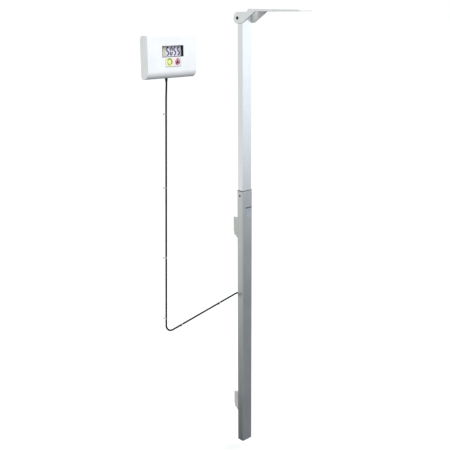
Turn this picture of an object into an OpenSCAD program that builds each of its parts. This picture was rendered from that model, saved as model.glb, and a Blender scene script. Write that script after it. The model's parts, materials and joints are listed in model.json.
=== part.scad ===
// Wall-mounted digital height rod: a two-stage rod with a fold-down head piece and a wall display.
// The origin is midway between the two screw holes of the upper wall cleat, on the wall.
// X points right along the wall, Y points into the wall, Z points up.

/* [Rod] */
// Width of the outer tube
tube_w = 40; // [36:1:56]
// Depth of the outer tube
tube_d = 25; // [23:0.5:36]
// Corner radius of the outer tube
tube_r = 4; // [3.5:0.5:6]
// Wall of the outer tube
tube_wall = 1.2; // [1:0.1:1.6]
// Length of the outer tube
tube_len = 828; // [650:1:1100]
// Space between the two tubes on each side
slide_gap = 0.9; // [0.8:0.1:1.4]
// Wall of the inner tube
inner_wall = 1.4; // [1:0.1:2]
// Length of the inner tube
inner_len = 874; // [800:1:1000]
// Height of the pivot above the outer tube, as drawn
pivot_rise = 494; // [420:1:500]
// Distance from the wall to the back of the outer tube
wall_gap = 20; // [19:0.5:26]
// Thickness of the guide collar's rim
collar_rim = 1.6; // [1:0.1:3]
// Length of the collar's sleeve inside the outer tube
collar_sleeve = 30; // [20:1:50]
// Visible height of the bottom end cap
cap_rim = 3; // [2:0.5:8]

/* [Brackets] */
// Distance from the outer tube's top to the upper bracket's screw centre
bracket_drop = 119; // [80:1:160]
// Distance from the outer tube's bottom to the lower bracket's screw centre
bracket_rise = 127; // [60:1:180]
// Width of a bracket
hanger_w = 32; // [30:1:35]
// Sheet thickness of a bracket
hanger_t = 2.4; // [1.5:0.1:3]
// Width of a wall cleat
cleat_w = 25; // [20:1:25]
// Thickness of a wall cleat
cleat_t = 3; // [2:0.5:4]
// Distance between the two screw holes of a cleat
cleat_pitch = 20; // [14:1:22]
// Diameter of the wall screw holes
wall_screw_d = 5; // [4:0.5:6]

/* [Head piece] */
// Reach of the blade from the pivot
blade_reach = 231; // [180:1:300]
// Space between the folded blade and the front of the outer tube
blade_clear = 0.6; // [0.5:0.1:3]
// Thickness of the blade at its root
blade_root = 8.5; // [6:0.5:12]
// Thickness of the blade at its tip
blade_tip = 4.5; // [3:0.5:6]
// Thickness of each cheek
cheek_t = 4.2; // [3:0.1:6]
// Radius of the rounded hub around the pivot
hub_r = 16; // [14:0.5:16]
// Diameter of the pivot pin
pin_d = 6; // [4:0.5:7]
// Distance from the inner tube's back face to the pivot
pivot_back = 7; // [6.5:0.1:7]

/* [Display] */
// Width of the display
disp_w = 162; // [150:1:220]
// Height of the display
disp_h = 111; // [104:1:150]
// Depth of the display
disp_d = 31; // [29:0.5:40]
// Wall of the display's shells
shell_t = 2.2; // [1.6:0.1:3]
// Distance from the wall to the seam between the shells
seam_y = 12; // [11:0.5:13]
// Radius of the long front bottom edge
nose_r = 20; // [10:1:20]
// Width of the screen well
lcd_w = 70; // [50:1:76]
// Height of the screen well
lcd_h = 28.5; // [20:0.5:30]
// Depth of the screen well
lcd_deep = 8.5; // [6:0.5:9]
// Diameter of the two buttons
button_d = 13.5; // [10:0.5:15]
// Distance between the two buttons
button_pitch = 25.8; // [20:0.1:30]
// Travel of a button
button_travel = 1; // [0.5:0.1:1.2]

/* [Lead] */
// Diameter of the lead
lead_d = 5; // [4:0.5:5.5]
// Bend radius of the lead at its lowest point
lead_bend = 20; // [15:1:40]

/* [Hidden] */

$fn = 48;
over = 1;            // how far a cutting tool runs past the face it cuts
fit = 0.05;          // clearance round a piece that is pressed or glued in place
slide_fit = 0.3;     // clearance round a piece that slides
pin_fit = 0.04;      // radial clearance of the pivot pin in its sleeve

// Outer tube, seen from above: its centre lies wall_gap in front of the wall
tube_y = -(wall_gap + tube_d / 2);
tube_back = -wall_gap;
tube_front = -(wall_gap + tube_d);
tube_top = bracket_drop;
tube_bottom = tube_top - tube_len;
bore_w = tube_w - 2 * tube_wall;
bore_d = tube_d - 2 * tube_wall;
bore_r = tube_r - tube_wall;

// Inner tube
inner_w = bore_w - 2 * slide_gap;
inner_d = bore_d - 2 * slide_gap;
inner_r = bore_r - slide_gap;
inner_back = tube_y + inner_d / 2;
inner_front = tube_y - inner_d / 2;
cavity_w = inner_w - 2 * inner_wall;
cavity_d = inner_d - 2 * inner_wall;
cavity_r = max(inner_r - inner_wall, 0.4);
pivot_y = inner_back - pivot_back;
pivot_z = tube_top + pivot_rise;
inner_above = 12;    // inner tube above the pivot
inner_top = pivot_z + inner_above;
inner_bottom = inner_top - inner_len;

// Collar screws
collar_screw_drop = 14;
collar_screw_d = 2.6;
collar_screw_head = 5;
collar_screw_head_t = 1.4;

// Slot along the back of the inner tube, which clears the reader
slot_w = 12;
slot_top_drop = 366; // slot's upper end below the inner tube's top
reader_z = -210;     // height of the reader and of the lead's way in
carrier_w = 9;
carrier_h = 34;
carrier_reach = 15;  // how far the carrier stands into the inner tube
board_w = 16;
board_t = 1.6;
chip = [8, 2, 10];
reader_screw_pitch = 22;
reader_screw_d = 2.4;
reader_screw_head = 4.6;
reader_screw_head_t = 1.5;
reader_screw_len = 9;
grommet_flange_d = 11;
grommet_flange_t = 2.4;
grommet_neck_d = 7.6;

// Slide shoe, friction pads and measuring strip
shoe_h = 20;
shoe_plug_h = 11;
pad_w = 16;
pad_h = 12;
pad_t = 1.2;
pad_proud = 0.15;
strip_w = 12;
strip_t = 0.4;
strip_start = 1;      // strip's lower end above the shoe's plug

// Bottom end cap
cap_plug_h = 9;
cap_plug_wall = 2;
cap_soft = 2;         // how far the cap's rounded edge draws in
cap_face_t = 0.2;

// Brackets, measured from the centre of their two wall screws
hanger_up = 36;
hanger_down = 28;
hanger_centre = (hanger_up - hanger_down) / 2;
bracket_spacing = tube_len - bracket_drop - bracket_rise;
hanger_straight = 45; // straight part of the wall side, above the taper
hanger_clear = 0.8;   // between the bracket and the wall
hanger_foot = 15;     // distance from the wall at which the taper ends
hanger_notch = [5.5, 6];
cleat_top = 22;
cleat_foot = 22;
lip_gap = 4;
lip_t = 2.5;
lip_h = 12;
shelf_z = 17;
shelf_t = 3;
hook_clear = 0.4;
hook_drop = 8.6;     // how far the hook reaches down behind the cleat's lip
bridge_t = 3;
csk_d = 9;
csk_h = 2;
rivet_d = 4;
rivet_head_d = 7;
rivet_head_t = 1.5;
rivet_pitch = 36;

// Label on the front of the outer tube
label_size = [27, 32];
label_x = 4;
label_z = 55;
label_t = 0.2;

// Head piece, in a side view: reach forward of the pivot and height above it
blade_rise = pivot_y - tube_front + blade_clear;
hub_lift = 1;
cheek_gap = 0.5;      // between a cheek and the outer tube, when the head is folded down over it
cheek_in = tube_w / 2 + cheek_gap;
cheek_out = cheek_in + cheek_t;
cheek_reach = 70;
hub_run = 20;        // where the cheeks' slanted lower edge leaves the hub
hub_sink = -13.5;
blade_start = 43;
blade_seat = 37;
stop_t = 3;
stop_gap = 0.3;      // between the stop web and the inner tube's back
stop_span = [-12, -8.2];
stop_inset = 1;       // between the stop web's ends and the cheeks' outer faces
cheek_overlap = 0.5;  // how far the cheeks run into the blade
blade_heel = 1;
washer_d = 14;
washer_gap = 0.05;   // on each side of a pivot washer
sleeve_d = 9;
block_h = 34;
block_cap_t = 2;
pin_cap_d = 9;
pin_cap_t = 1.2;
pin_cap_stem = 1.6;

// Display
disp_x = -259;
disp_bottom = 462;
disp_top = disp_bottom + disp_h;
disp_gap = 0.5;      // between the back shell and the wall
top_front_r = 3;
top_back_r = 12;
bottom_back_r = disp_d - disp_gap - nose_r - 1.5;
lcd_x = disp_x + 2;
lcd_z = disp_top - 41.5;
bezel_t = 1;
bezel_flange = 2;    // how far the bezel's flange reaches under the front shell
window_t = 1;
panel_t = 2.5;
panel_lap = 1;       // how far the panel reaches under the bezel
keypad_x = lcd_x;
keypad_z = disp_top - 69.5;
keypad_size = [51, 23];
keypad_t = 0.4;
keypad_gap = 0.5;    // between the keypad film and a button
button_z = keypad_z + 1;
button_proud = 1.5;
button_flange = 2;   // how far the button's flange reaches under the shell
button_flange_t = 1.2;
button_stem_d = 5;
button_gap = 0.3;
button_rest_gap = 0.2; // behind the shell, and in front of the switch at full travel
main_board_size = [90, 70];
main_board_x = disp_x + 22;
main_board_z = disp_bottom + 53;
main_board_t = 1.6;
main_board_gap = 2;  // between the panel and the board
main_board_y = -disp_d + lcd_deep + panel_t + main_board_gap;
switch_size = 6;
switch_h = 3.5;
boss_d = 7;
boss_side = 8;
boss_top = 16;
boss_bottom = 20;
shell_screw_d = 3;
shell_screw_head = 5.6;
shell_screw_head_t = 2;
shell_screw_len = 14;
shell_screw_sink = 0.3;
shell_screw_spare = 2; // hole past the screw's tip

// Batteries and their door
cell_d = 14.2;
cell_len = 50;
cell_gap = 0.6;
cell_nub = 1.2;
cell_nub_d = 5.5;
cell_z = disp_bottom + 48;
contact_t = 0.5;
contact_gap = 1.8;
door_w = 36;
door_side = 12.5;    // between the display's left side and the door, past the screw boss
door_h = 62;
door_t = 1.8;
cell_x = disp_x - disp_w / 2 + door_side + door_w / 2;
door_z = cell_z - 2;
door_lip = 1.5;      // how far the door's opening is narrower than the door
door_sill = 4.5;     // the same at the door's lower end
door_play = 0.3;
door_frame = 4;      // thickened shell round the door
door_frame_t = 2;
cell_back_gap = 1.2;
rib_count = 5;
rib_start = 6;
rib_size = [16, 0.5, 1.2];

// Wall plate of the display
plate_size = [76, 44];
plate_t = 2.4;
plate_x = disp_x + 30;
plate_z = disp_bottom + 60;
plate_pitch = 56;
plate_play = 1.2;    // space round the plate in the shell's recess
plate_recess = 0.6;  // space in front of the plate
plate_frame = 4;     // thickened shell round the recess
plate_frame_t = 2.6;
plate_hook_w = 10;
plate_hook_x = 16;
plate_hook_h = 5;
plate_hook_t = 1.6;
hook_side_gap = 0.5;
hook_top_gap = 0.1;
hook_front_gap = 0.3;

// Lead: leaves the display, lies against the wall in its clips, then turns into the rod's back
lead_y = -5;
exit_y = -7;
lead_x = disp_x - 4;
relief_d = 8;
relief_tip_d = 6.4;
relief_top = disp_bottom + 14;
relief_low = disp_bottom - 8;
lead_fit = 0.02;     // radial clearance of the lead in its strain reliefs
lead_in_carrier = 3;
lead_sides = 12;
lead_corners = [
    [lead_x, exit_y, disp_bottom + 24],
    [lead_x, exit_y, disp_bottom - 15],
    [lead_x - 1, lead_y, disp_bottom - 55],
    [-288, lead_y, -262],
    [0, lead_y, reader_z],
    [0, tube_back - tube_wall - lead_in_carrier, reader_z],
];
lead_bends = [40, 200, lead_bend, 12];
clip_spots = [[2, 0.06], [2, 0.36], [2, 0.66], [2, 0.93], [3, 0.2], [3, 0.72]];
clip_len = 5;
clip_wall = 0.8;
clip_tab = 5;
clip_base_t = 1.6;
clip_gap = 0.1;
clip_screw_d = 3.2;
clip_screw_t = 0.8;

// ---------------------------------------------------------------- shared shapes

// A rectangle with round corners, centred
module round_rect(w, d, r) {
    square([w - 2 * r, d], center = true);
    square([w, d - 2 * r], center = true);
    for (sx = [-1, 1], sy = [-1, 1])
        translate([sx * (w / 2 - r), sy * (d / 2 - r)]) circle(r = r);
}

// A tube or bar of that outline, standing on z0 at the rod's centre line
module rod_bar(w, d, r, z0, h) {
    translate([0, tube_y, z0]) linear_extrude(h) round_rect(w, d, r);
}

// Extrudes a (Y, Z) outline along X from x0 to x1
module along_x(x0, x1) {
    translate([x0, 0, 0]) rotate([90, 0, 90]) linear_extrude(x1 - x0) children();
}

// A box from its lowest corner to its highest corner
module block(low, high) {
    translate(low) cube(high - low);
}

// A cylinder along X or Y between two coordinates
module rod_x(x0, x1, y, z, d) {
    translate([x0, y, z]) rotate([0, 90, 0]) cylinder(d = d, h = x1 - x0);
}
module rod_y(y0, y1, x, z, d) {
    translate([x, y0, z]) rotate([-90, 0, 0]) cylinder(d = d, h = y1 - y0);
}

// The points of an arc, from angle a0 to a1
function arc(centre, r, a0, a1, steps = 8) =
    [for (i = [0:steps]) let (a = a0 + (a1 - a0) * i / steps) centre + r * [cos(a), sin(a)]];

// ---------------------------------------------------------------- rod, fixed tube

module hanger_rivet_holes(zc) {
    for (s = [-1, 1])
        rod_y(tube_back - tube_wall - over, tube_back + hanger_t + over,
              0, zc + s * rivet_pitch / 2, rivet_d);
}

module outer_tube() {
    color([0.72, 0.74, 0.76])
    difference() {
        rod_bar(tube_w, tube_d, tube_r, tube_bottom, tube_len);
        rod_bar(bore_w, bore_d, bore_r, tube_bottom - over, tube_len + 2 * over);
        rod_x(-tube_w, tube_w, tube_y, tube_top - collar_screw_drop, collar_screw_d + 2 * fit);
        rod_y(tube_back - tube_wall - over, tube_back + over, 0, reader_z, grommet_neck_d + 2 * fit);
        for (s = [-1, 1])
            rod_y(tube_back - tube_wall - over, tube_back + over,
                  0, reader_z + s * reader_screw_pitch / 2, reader_screw_d + 2 * fit);
        hanger_rivet_holes(hanger_centre);
        hanger_rivet_holes(hanger_centre - bracket_spacing);
    }
}

module bottom_end_cap() {
    color([0.08, 0.08, 0.09]) {
        translate([0, tube_y, tube_bottom - cap_rim]) hull() {
            translate([0, 0, cap_rim / 2]) linear_extrude(cap_rim / 2)
                round_rect(tube_w, tube_d, tube_r, $fn = 32);
            linear_extrude(cap_face_t)
                round_rect(tube_w - 2 * cap_soft, tube_d - 2 * cap_soft, tube_r - cap_soft, $fn = 32);
        }
        difference() {
            rod_bar(bore_w - 2 * fit, bore_d - 2 * fit, bore_r - fit, tube_bottom, cap_plug_h);
            rod_bar(bore_w - 2 * cap_plug_wall, bore_d - 2 * cap_plug_wall, cavity_r,
                    tube_bottom + cap_plug_wall, cap_plug_h);
        }
    }
}

module guide_collar() {
    color([0.1, 0.1, 0.11])
    difference() {
        union() {
            rod_bar(tube_w, tube_d, tube_r, tube_top, collar_rim);
            rod_bar(bore_w - 2 * fit, bore_d - 2 * fit, bore_r - fit,
                    tube_top - collar_sleeve, collar_sleeve);
        }
        rod_bar(inner_w + 2 * slide_fit, inner_d + 2 * slide_fit, inner_r + slide_fit,
                tube_top - collar_sleeve - over, collar_sleeve + collar_rim + 2 * over);
        rod_x(-tube_w, tube_w, tube_y, tube_top - collar_screw_drop, collar_screw_d + 2 * fit);
    }
}

module collar_screws() {
    color([0.16, 0.16, 0.17])
    for (flip = [0, 1]) mirror([flip, 0, 0]) {
        rod_x(tube_w / 2, tube_w / 2 + collar_screw_head_t,
              tube_y, tube_top - collar_screw_drop, collar_screw_head);
        rod_x(inner_w / 2 + slide_fit, tube_w / 2 + collar_screw_head_t / 2,
              tube_y, tube_top - collar_screw_drop, collar_screw_d);
    }
}

module rod_label() {
    color([0.85, 0.86, 0.88])
    block([label_x - label_size[0] / 2, tube_front - label_t, label_z - label_size[1] / 2],
          [label_x + label_size[0] / 2, tube_front, label_z + label_size[1] / 2]);
}

// ---------------------------------------------------------------- wall cleats and brackets

// A countersunk hole along Y whose wide end faces the room at y_face
module wall_screw_hole(x, z, y_face) {
    rod_y(y_face - over, over, x, z, wall_screw_d);
    translate([x, y_face, z]) rotate([-90, 0, 0]) cylinder(d1 = csk_d, d2 = wall_screw_d, h = csk_h);
    rod_y(y_face - over, y_face, x, z, csk_d);
}

// The J-shaped cleat, its screw holes about z = 0
module wall_cleat() {
    lip_y = -(cleat_t + lip_gap);
    color([0.62, 0.64, 0.66])
    difference() {
        along_x(-cleat_w / 2, cleat_w / 2) polygon([
            [0, -cleat_foot], [0, cleat_top], [-cleat_t, cleat_top], [-cleat_t, shelf_z + shelf_t],
            [lip_y, shelf_z + shelf_t], [lip_y, shelf_z + lip_h], [lip_y - lip_t, shelf_z + lip_h],
            [lip_y - lip_t, shelf_z], [-cleat_t, shelf_z], [-cleat_t, -cleat_foot],
        ]);
        for (s = [-1, 1]) wall_screw_hole(0, s * cleat_pitch / 2, -cleat_t);
    }
}

// The bracket on the tube's back: two webs, a plate against the tube and a hook over the cleat's lip
module hanger() {
    wall_side = -hanger_clear;
    taper_z = hanger_up - hanger_straight;
    hook_back = -cleat_t - hook_clear;
    hook_front = -(cleat_t + lip_gap) + hook_clear;
    lip_top = shelf_z + lip_h;
    notch_y = tube_back + hanger_notch[0];
    color([0.74, 0.75, 0.74])
    difference() {
        union() {
            for (x = [-hanger_w / 2, hanger_w / 2 - hanger_t])
                along_x(x, x + hanger_t) polygon([
                    [wall_side, hanger_up], [notch_y, hanger_up], [notch_y - 1, hanger_up - hanger_notch[1]],
                    [tube_back, hanger_up - hanger_notch[1]], [tube_back, -hanger_down],
                    [-hanger_foot, -hanger_down], [wall_side, taper_z],
                ]);
            block([-hanger_w / 2, tube_back, -hanger_down],
                  [hanger_w / 2, tube_back + hanger_t, lip_top + bridge_t]);
            block([-hanger_w / 2, tube_back, lip_top], [hanger_w / 2, hook_back, lip_top + bridge_t]);
            block([-cleat_w / 2, hook_front, lip_top - hook_drop],
                  [cleat_w / 2, hook_back, lip_top + bridge_t]);
        }
        hanger_rivet_holes(hanger_centre);
    }
}

module upper_wall_cleat() { wall_cleat(); }
module lower_wall_cleat() { translate([0, 0, -bracket_spacing]) wall_cleat(); }
module upper_hanger() { hanger(); }
module lower_hanger() { translate([0, 0, -bracket_spacing]) hanger(); }

module hanger_rivets() {
    color([0.7, 0.7, 0.72])
    for (z0 = [0, -bracket_spacing], s = [-1, 1]) {
        z = z0 + hanger_centre + s * rivet_pitch / 2;
        rod_y(tube_back - tube_wall, tube_back + hanger_t + rivet_head_t / 2, 0, z, rivet_d);
        rod_y(tube_back + hanger_t, tube_back + hanger_t + rivet_head_t, 0, z, rivet_head_d);
    }
}

// ---------------------------------------------------------------- reader inside the rod

carrier_back = tube_back - tube_wall;
carrier_front = carrier_back - carrier_reach;

module reader_carrier() {
    color([0.15, 0.15, 0.16])
    difference() {
        block([-carrier_w / 2, carrier_front, reader_z - carrier_h / 2],
              [carrier_w / 2, carrier_back, reader_z + carrier_h / 2]);
        rod_y(carrier_back - lead_in_carrier, carrier_back + over, 0, reader_z, lead_d + 2 * fit);
        for (s = [-1, 1])
            rod_y(tube_back - reader_screw_len - fit, tube_back, 0,
                  reader_z + s * reader_screw_pitch / 2, reader_screw_d + 2 * fit);
    }
}

module reader_board() {
    board_front = carrier_front - board_t;
    color([0.1, 0.42, 0.25]) {
        block([-board_w / 2, board_front, reader_z - carrier_h / 2],
              [board_w / 2, carrier_front, reader_z + carrier_h / 2]);
        block([-chip[0] / 2, board_front - chip[1], reader_z - chip[2] / 2],
              [chip[0] / 2, board_front, reader_z + chip[2] / 2]);
    }
}

module reader_screws() {
    color([0.6, 0.6, 0.62])
    for (s = [-1, 1]) {
        z = reader_z + s * reader_screw_pitch / 2;
        rod_y(tube_back, tube_back + reader_screw_head_t, 0, z, reader_screw_head);
        rod_y(tube_back - reader_screw_len, tube_back + reader_screw_head_t / 2, 0, z, reader_screw_d);
    }
}

module rod_grommet() {
    color([0.07, 0.07, 0.08])
    difference() {
        union() {
            rod_y(tube_back, tube_back + grommet_flange_t, 0, reader_z, grommet_flange_d);
            rod_y(tube_back - tube_wall, tube_back + grommet_flange_t / 2, 0, reader_z, grommet_neck_d);
        }
        rod_y(tube_back - 2 * tube_wall, tube_back + 2 * grommet_flange_t,
              0, reader_z, lead_d + 2 * lead_fit);
    }
}

// ---------------------------------------------------------------- lead and its clips

function unit(v) = v / norm(v);

// The rounded corner at b of the route a, b, c, with bend radius r
function bend(a, b, c, r, steps = 8) =
    let (u = unit(a - b), v = unit(c - b), half = acos(u * v) / 2,
         back = r / tan(half), centre = b + unit(u + v) * r / sin(half),
         p = b + u * back - centre, q = b + v * back - centre, sweep = 180 - 2 * half)
    [for (i = [0:steps]) let (t = sweep * i / steps)
        centre + (sin(sweep - t) * p + sin(t) * q) / sin(sweep)];

lead_path = concat(
    [lead_corners[0]],
    [for (i = [0:len(lead_bends) - 1])
        each bend(lead_corners[i], lead_corners[i + 1], lead_corners[i + 2], lead_bends[i])],
    [lead_corners[len(lead_corners) - 1]]
);

function along(path, i) =
    i == 0 ? unit(path[1] - path[0])
    : i == len(path) - 1 ? unit(path[i] - path[i - 1])
    : unit(unit(path[i + 1] - path[i]) + unit(path[i] - path[i - 1]));

// A direction square to the route at each point, carried along without twist
function carried(path, i, side) =
    let (t = along(path, i), s = unit(side - (side * t) * t))
    i == len(path) - 1 ? [s] : concat([s], carried(path, i + 1, s));

// A round bar of diameter d swept along the path
module sweep(path, d, sides) {
    normals = carried(path, 0, [0, 1, 0.001]);
    rings = [for (i = [0:len(path) - 1])
        let (t = along(path, i), n = normals[i], m = cross(t, n))
        for (k = [0:sides - 1]) path[i] + d / 2 * (cos(360 * k / sides) * n + sin(360 * k / sides) * m)];
    last = (len(path) - 1) * sides;
    faces = concat(
        [[for (k = [0:sides - 1]) k]],
        [[for (k = [0:sides - 1]) last + sides - 1 - k]],
        [for (i = [0:len(path) - 2], k = [0:sides - 1])
            let (a = i * sides + k, b = i * sides + (k + 1) % sides) [a, a + sides, b + sides, b]]
    );
    polyhedron(points = rings, faces = faces, convexity = 6);
}

module lead() {
    color([0.05, 0.05, 0.06]) sweep(lead_path, lead_d, lead_sides);
}

// Moves to a clip's place, with the lead along +Z
module at_clip(spot) {
    a = lead_corners[spot[0]];
    b = lead_corners[spot[0] + 1];
    run = b - a;
    translate(a + spot[1] * run) rotate([0, atan2(run[0], run[2]), 0]) children();
}

module lead_clips() {
    r = lead_d / 2 + clip_gap + clip_wall;
    color([0.86, 0.88, 0.88])
    for (spot = clip_spots) at_clip(spot)
        difference() {
            union() {
                cylinder(r = r, h = clip_len, center = true);
                block([-r, 0, -clip_len / 2], [r, -lead_y, clip_len / 2]);
                block([0, -lead_y - clip_base_t, -clip_len / 2], [r + clip_tab, -lead_y, clip_len / 2]);
            }
            cylinder(r = lead_d / 2 + clip_gap, h = clip_len + 2 * over, center = true);
        }
}

module clip_screws() {
    r = lead_d / 2 + clip_gap + clip_wall;
    color([0.5, 0.5, 0.52])
    for (spot = clip_spots) at_clip(spot)
        translate([r + clip_tab / 2, -lead_y - clip_base_t - clip_screw_t, 0])
            rotate([-90, 0, 0]) cylinder(d = clip_screw_d, h = clip_screw_t);
}

module display_strain_relief() {
    color([0.06, 0.06, 0.07])
    difference() {
        translate([lead_x, exit_y, 0]) union() {
            translate([0, 0, disp_bottom]) cylinder(d = relief_d, h = relief_top - disp_bottom);
            translate([0, 0, relief_low])
                cylinder(d1 = relief_tip_d, d2 = relief_d, h = disp_bottom - relief_low);
        }
        translate([lead_x, exit_y, relief_low - over])
            cylinder(d = lead_d + 2 * lead_fit, h = relief_top - relief_low + 2 * over);
    }
}

// ---------------------------------------------------------------- display shells

// The display's side outline, moved inward by e, as (Y, Z) points
function disp_outline(e) =
    let (back = -disp_gap - e, front = -disp_d + e, low = disp_bottom + e, high = disp_top - e,
         r1 = top_back_r - e, r2 = top_front_r - e, r3 = nose_r - e, r4 = bottom_back_r - e)
    concat(
        arc([back - r1, high - r1], r1, 0, 90),
        arc([front + r2, high - r2], r2, 90, 180),
        arc([front + r3, low + r3], r3, 180, 270),
        arc([back - r4, low + r4], r4, 270, 360)
    );

module disp_solid(e) {
    along_x(disp_x - disp_w / 2 + e, disp_x + disp_w / 2 - e) polygon(disp_outline(e));
}

// Everything on the room side (front) or the wall side of the seam
module front_half() {
    block([disp_x - disp_w, -2 * disp_d, disp_bottom - disp_h],
          [disp_x + disp_w, -seam_y, disp_top + disp_h]);
}
module back_half() {
    block([disp_x - disp_w, -seam_y, disp_bottom - disp_h], [disp_x + disp_w, over, disp_top + disp_h]);
}

// The four screw places, as (X, Z)
shell_screw_spots = [
    for (sx = [-1, 1], z = [disp_bottom + boss_bottom, disp_top - boss_top])
        [disp_x + sx * (disp_w / 2 - boss_side), z]
];

button_spots = [for (s = [-1, 1]) [keypad_x + s * button_pitch / 2, button_z]];

// A box through the display's front, w by h about (x, z)
module front_window(w, h, x, z, y0, y1) {
    block([x - w / 2, y0, z - h / 2], [x + w / 2, y1, z + h / 2]);
}

module display_front_shell() {
    color([0.95, 0.96, 0.97])
    difference() {
        union() {
            difference() {
                intersection() {
                    disp_solid(0);
                    front_half();
                }
                disp_solid(shell_t);
            }
            for (p = shell_screw_spots) rod_y(-disp_d + shell_t / 2, -seam_y, p[0], p[1], boss_d);
        }
        for (p = shell_screw_spots)
            rod_y(-disp_gap - shell_screw_len - shell_screw_spare, over, p[0], p[1], shell_screw_d + 2 * fit);
        front_window(lcd_w, lcd_h, lcd_x, lcd_z, -disp_d - over, -disp_d + shell_t + over);
        for (p = button_spots)
            rod_y(-disp_d - over, -disp_d + shell_t + over, p[0], p[1], button_d + 2 * button_gap);
    }
}

door_left = cell_x - door_w / 2;
door_right = cell_x + door_w / 2;
door_low = door_z - door_h / 2;
door_high = door_z + door_h / 2;
frame_back = -disp_gap - shell_t;

// Where the wall plate's two hooks stand
plate_hooks = [for (s = [-1, 1]) plate_x + s * plate_hook_x];

module display_back_shell() {
    color([0.9, 0.91, 0.92])
    difference() {
        union() {
            difference() {
                intersection() {
                    disp_solid(0);
                    back_half();
                }
                disp_solid(shell_t);
            }
            intersection() {
                disp_solid(0);
                union() {
                    block([door_left - door_frame, frame_back - door_frame_t, disp_bottom],
                          [door_right + door_frame, -disp_gap, door_high + door_frame]);
                    block([plate_x - plate_size[0] / 2 - plate_frame, frame_back - plate_frame_t,
                           plate_z - plate_size[1] / 2 - plate_frame],
                          [plate_x + plate_size[0] / 2 + plate_frame, -disp_gap,
                           plate_z + plate_size[1] / 2 + plate_frame]);
                }
            }
            for (p = shell_screw_spots) rod_y(-seam_y, -disp_gap - shell_t / 2, p[0], p[1], boss_d);
        }
        for (p = shell_screw_spots) {
            rod_y(-seam_y - over, over, p[0], p[1], shell_screw_d + 2 * fit);
            rod_y(-disp_gap - shell_screw_head_t - shell_screw_sink, over,
                  p[0], p[1], shell_screw_head + 2 * fit);
        }
        // The door's channel, open at the bottom, and the way in to the batteries
        block([door_left - door_play, -disp_gap - door_t - door_play, disp_bottom - over],
              [door_right + door_play, over, door_high + door_play]);
        block([door_left + door_lip, -seam_y - over, door_low + door_sill],
              [door_right - door_lip, over, door_high - door_lip]);
        // The wall plate's recess and the slots for its hooks
        block([plate_x - plate_size[0] / 2 - plate_play, -plate_t - plate_recess,
               plate_z - plate_size[1] / 2 - plate_play],
              [plate_x + plate_size[0] / 2 + plate_play, over, plate_z + plate_size[1] / 2 + plate_play]);
        for (x = plate_hooks)
            block([x - plate_hook_w / 2 - hook_side_gap, -seam_y, plate_z - plate_hook_h - plate_hook_t],
                  [x + plate_hook_w / 2 + hook_side_gap, over, plate_z + plate_hook_t + hook_top_gap]);
        // The lead's way out
        translate([lead_x, exit_y, disp_bottom - over])
            cylinder(d = relief_d + 2 * fit, h = bottom_back_r + 2 * over);
    }
}

module display_wall_plate() {
    hook_y = frame_back - plate_frame_t - hook_front_gap;
    color([0.66, 0.67, 0.68])
    difference() {
        union() {
            block([plate_x - plate_size[0] / 2, -plate_t, plate_z - plate_size[1] / 2],
                  [plate_x + plate_size[0] / 2, 0, plate_z + plate_size[1] / 2]);
            for (x = plate_hooks) {
                block([x - plate_hook_w / 2, hook_y - plate_hook_t, plate_z],
                      [x + plate_hook_w / 2, -plate_t / 2, plate_z + plate_hook_t]);
                block([x - plate_hook_w / 2, hook_y - plate_hook_t, plate_z],
                      [x + plate_hook_w / 2, hook_y, plate_z + plate_hook_t + plate_hook_h]);
            }
        }
        for (s = [-1, 1]) wall_screw_hole(plate_x + s * plate_pitch / 2, plate_z, -plate_t);
    }
}

module shell_screws() {
    color([0.55, 0.56, 0.58])
    for (p = shell_screw_spots) {
        rod_y(-disp_gap - shell_screw_head_t - shell_screw_sink, -disp_gap - shell_screw_sink,
              p[0], p[1], shell_screw_head);
        rod_y(-disp_gap - shell_screw_len, -disp_gap - shell_screw_head_t, p[0], p[1], shell_screw_d);
    }
}

// ---------------------------------------------------------------- screen, keypad and board

bezel_back = -disp_d + lcd_deep;

module lcd_bezel() {
    color([0.05, 0.05, 0.06])
    difference() {
        union() {
            front_window(lcd_w - 2 * fit, lcd_h - 2 * fit, lcd_x, lcd_z, -disp_d, bezel_back);
            front_window(lcd_w + 2 * bezel_flange, lcd_h + 2 * bezel_flange, lcd_x, lcd_z,
                         -disp_d + shell_t + fit, bezel_back);
        }
        front_window(lcd_w - 2 * bezel_t, lcd_h - 2 * bezel_t, lcd_x, lcd_z,
                     -disp_d - over, bezel_back + over);
    }
}

module lcd_window() {
    color([0.8, 0.85, 0.82, 0.5])
    front_window(lcd_w - 2 * bezel_t - 2 * fit, lcd_h - 2 * bezel_t - 2 * fit, lcd_x, lcd_z,
                 bezel_back - window_t, bezel_back);
}

module lcd_panel() {
    color([0.72, 0.72, 0.62])
    front_window(lcd_w + 2 * panel_lap, lcd_h + 2 * panel_lap, lcd_x, lcd_z,
                 bezel_back, bezel_back + panel_t);
}

module keypad_label() {
    color([0.93, 0.92, 0.85])
    difference() {
        front_window(keypad_size[0], keypad_size[1], keypad_x, keypad_z, -disp_d - keypad_t, -disp_d);
        for (p = button_spots)
            rod_y(-disp_d - over, -disp_d + over, p[0], p[1], button_d + 2 * keypad_gap);
    }
}

module main_board() {
    color([0.1, 0.42, 0.25]) {
        block([main_board_x - main_board_size[0] / 2, main_board_y, main_board_z - main_board_size[1] / 2],
              [main_board_x + main_board_size[0] / 2, main_board_y + main_board_t,
               main_board_z + main_board_size[1] / 2]);
        for (p = button_spots)
            front_window(switch_size, switch_size, p[0], p[1], main_board_y - switch_h, main_board_y);
    }
}

module push_button(p) {
    shell_inside = -disp_d + shell_t;
    flange_front = shell_inside + button_rest_gap;
    rod_y(-disp_d - button_proud, flange_front + button_flange_t, p[0], p[1], button_d);
    rod_y(flange_front, flange_front + button_flange_t, p[0], p[1], button_d + 2 * button_flange);
    rod_y(flange_front, main_board_y - switch_h - button_travel - button_rest_gap, p[0], p[1], button_stem_d);
}

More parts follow.
